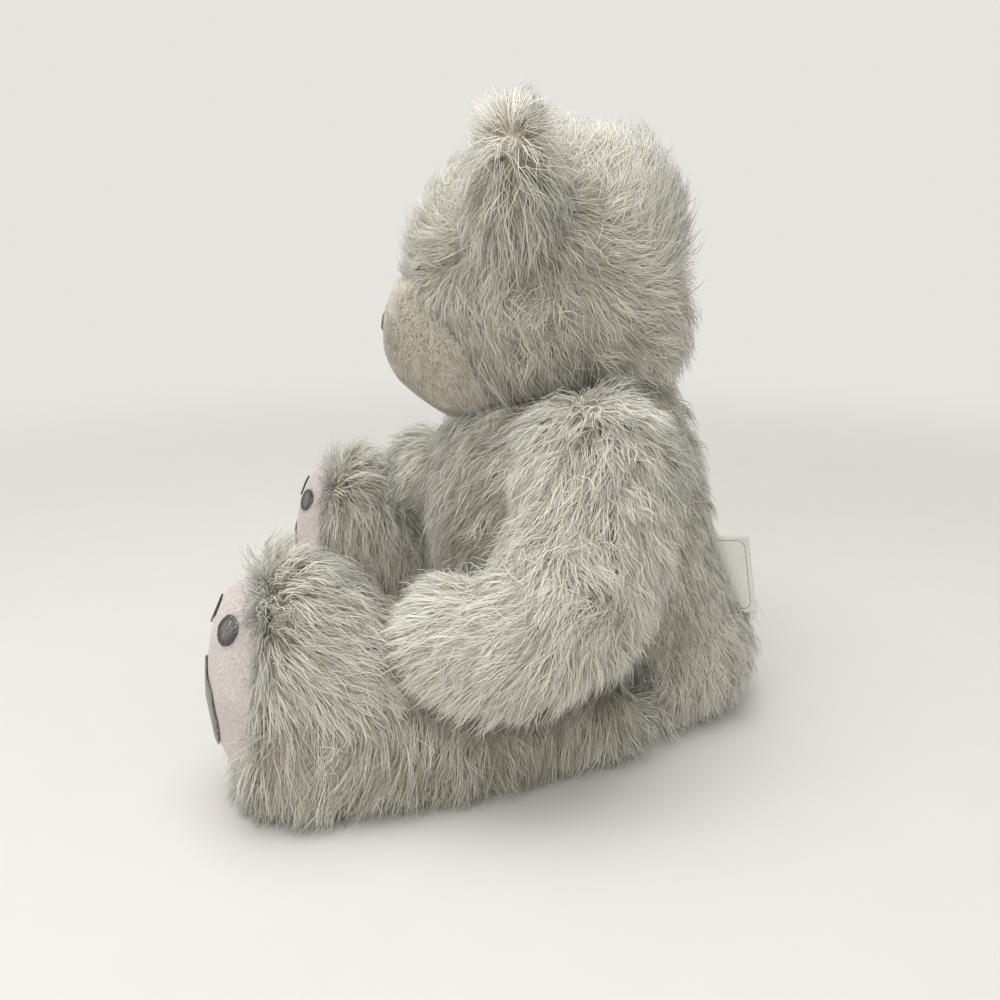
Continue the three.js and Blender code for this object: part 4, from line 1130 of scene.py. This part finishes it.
class BEAR_OT_hardware(bpy.types.Operator):
    """Finishes the discs, washers and pins inside the joints."""

    bl_idname = "bear.hardware"
    bl_label = "Joint hardware"

    def execute(self, context):
        board, tree, shader = new_material("pressed_board", roughness=0.85)
        fibres = object_noise(tree, 380, 5)
        mottled(tree, shader, fibres, (0.13, 0.07, 0.03), (0.3, 0.18, 0.09))
        bumped(tree, shader, fibres, 0.0003)
        steel, tree, shader = new_material("drawn_steel", metallic=1.0, roughness=0.32)
        streaks = object_noise(tree, 500, 3, (1, 1, 0.1))
        mottled(tree, shader, streaks, (0.42, 0.43, 0.44), (0.56, 0.56, 0.57))
        plastic, tree, shader = new_material("moulded_white", roughness=0.45)
        flow = object_noise(tree, 120, 2)
        mottled(tree, shader, flow, (0.7, 0.69, 0.66), (0.78, 0.77, 0.74))
        finishes = (("_disc", board), ("eye_washer", plastic), ("_washer", steel), ("_pin", steel))
        for name, cad in frame["nodes"].items():
            for ending, finish in finishes:
                if name.endswith(ending):
                    painted(cad, finish)
                    break
        return {"FINISHED"}


FLOOR_RADIUS = 6.0
FADE = (0.35, 1.2)  # from the middle: where the floor starts to pass into the sky, and where it has
LAMP_AIM = Vector((0, -0.03, 0.12))
CAMERA_SPOT = (0.514, -0.042, 0.26)
CAMERA_TURN = (math.radians(74), 0, math.radians(90))
CAMERA_SENSOR = CAMERA_LENS = 36  # mm


class BEAR_OT_stage(bpy.types.Operator):
    """Lays the floor, lights it and sets the camera."""

    bl_idname = "bear.stage"
    bl_label = "Stage"

    def execute(self, context):
        stage = context.scene.bear_stage
        mesh = bpy.data.meshes.new("floor")
        work = bmesh.new()
        bmesh.ops.create_circle(work, cap_ends=True, segments=96, radius=FLOOR_RADIUS)
        work.to_mesh(mesh)
        work.free()
        floor = mesh_object("floor", mesh)
        material, tree, shader = new_material("floor_paper", roughness=0.9, specular_ior_level=0.1)
        grain = object_noise(tree, 30, 2)
        mottled(tree, shader, grain, shaded(stage.floor, 0.985), tuple(stage.floor))
        self.fade(tree, shader, stage.sky)
        mesh.materials.append(material)

        world = bpy.data.worlds.new("studio")
        context.scene.world = world
        world.use_nodes = True
        tree = world.node_tree
        light = tree.nodes["Background"]
        light.inputs["Color"].default_value = (1.0, 0.985, 0.95, 1)
        light.inputs["Strength"].default_value = stage.fill
        seen = tree.nodes.new("ShaderNodeBackground")
        seen.inputs["Color"].default_value = rgba(stage.sky)
        path = tree.nodes.new("ShaderNodeLightPath")
        mix = tree.nodes.new("ShaderNodeMixShader")
        seen_by = node(tree, "ShaderNodeMath", operation="ADD", use_clamp=True)
        also = node(tree, "ShaderNodeMath", operation="ADD")
        wired(
            tree,
            (path.outputs["Is Glossy Ray"], also.inputs[0]),
            (path.outputs["Is Transmission Ray"], also.inputs[1]),
            (path.outputs["Is Camera Ray"], seen_by.inputs[0]),
            (also.outputs["Value"], seen_by.inputs[1]),
            (seen_by.outputs["Value"], mix.inputs["Fac"]),
            (light.outputs["Background"], mix.inputs[1]),
            (seen.outputs["Background"], mix.inputs[2]),
            (mix.outputs["Shader"], tree.nodes["World Output"].inputs["Surface"]),
        )

        for name, spot, size, power in (
            ("overhead", (0.15, -0.15, 1.3), 1.0, stage.key),
            ("front", (1.1, -0.5, 0.7), 0.9, 0.5 * stage.key),
        ):
            lamp = bpy.data.lights.new(name, "AREA")
            lamp.size = size
            lamp.energy = power
            made = bpy.data.objects.new(name, lamp)
            made.location = spot
            made.rotation_euler = (LAMP_AIM - Vector(spot)).to_track_quat("-Z", "Y").to_euler()
            context.scene.collection.objects.link(made)

        camera = bpy.data.cameras.new("camera")
        camera.sensor_width = CAMERA_SENSOR
        camera.lens = CAMERA_LENS
        made = bpy.data.objects.new("camera", camera)
        made.location = CAMERA_SPOT
        made.rotation_euler = CAMERA_TURN
        context.scene.collection.objects.link(made)
        context.scene.camera = made
        context.scene.view_settings.view_transform = "Standard"
        return {"FINISHED"}

    def fade(self, tree, shader, sky):
        """Lets the floor pass into the colour behind it, so that no edge shows."""
        place = tree.nodes.new("ShaderNodeTexCoord")
        away = node(tree, "ShaderNodeVectorMath", operation="LENGTH")
        share = node(tree, "ShaderNodeMapRange", interpolation_type="SMOOTHSTEP")
        share.inputs["From Min"].default_value, share.inputs["From Max"].default_value = FADE
        path = tree.nodes.new("ShaderNodeLightPath")
        seen = node(tree, "ShaderNodeMath", operation="MULTIPLY")
        glow = tree.nodes.new("ShaderNodeEmission")
        glow.inputs["Color"].default_value = rgba(sky)
        mix = tree.nodes.new("ShaderNodeMixShader")
        wired(
            tree,
            (place.outputs["Object"], away.inputs[0]),
            (away.outputs["Value"], share.inputs["Value"]),
            (share.outputs["Result"], seen.inputs[0]),
            (path.outputs["Is Camera Ray"], seen.inputs[1]),
            (seen.outputs["Value"], mix.inputs["Fac"]),
            (shader.outputs["BSDF"], mix.inputs[1]),
            (glow.outputs["Emission"], mix.inputs[2]),
            (mix.outputs["Shader"], tree.nodes["Material Output"].inputs["Surface"]),
        )


STEPS = (
    BEAR_OT_stage,
    BEAR_OT_torso,
    BEAR_OT_head,
    BEAR_OT_ears,
    BEAR_OT_arms,
    BEAR_OT_legs,
    BEAR_OT_muzzle,
    BEAR_OT_face,
    BEAR_OT_pads,
    BEAR_OT_label,
    BEAR_OT_hardware,
)


class BEAR_PT_panel(bpy.types.Panel):
    """Lists the steps that dress the bear."""

    bl_label = "Plush bear"
    bl_idname = "BEAR_PT_panel"
    bl_space_type = "VIEW_3D"
    bl_region_type = "UI"
    bl_category = "Bear"

    def draw(self, context):
        for step in STEPS:
            self.layout.operator(step.bl_idname)


SETTINGS = {
    "bear_plush": BearPlush,
    "bear_face": BearFace,
    "bear_pads": BearPads,
    "bear_stage": BearStage,
}
CLASSES = (*SETTINGS.values(), *STEPS, BEAR_PT_panel)


def register():
    for cls in CLASSES:
        bpy.utils.register_class(cls)
    for name, group in SETTINGS.items():
        setattr(bpy.types.Scene, name, PointerProperty(type=group))


def unregister():
    for name in SETTINGS:
        delattr(bpy.types.Scene, name)
    for cls in reversed(CLASSES):
        bpy.utils.unregister_class(cls)


def main():
    register()
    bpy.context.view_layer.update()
    for step in STEPS:
        getattr(bpy.ops.bear, step.bl_idname.split(".")[1])()
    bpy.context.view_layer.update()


if __name__ == "__main__":
    main()
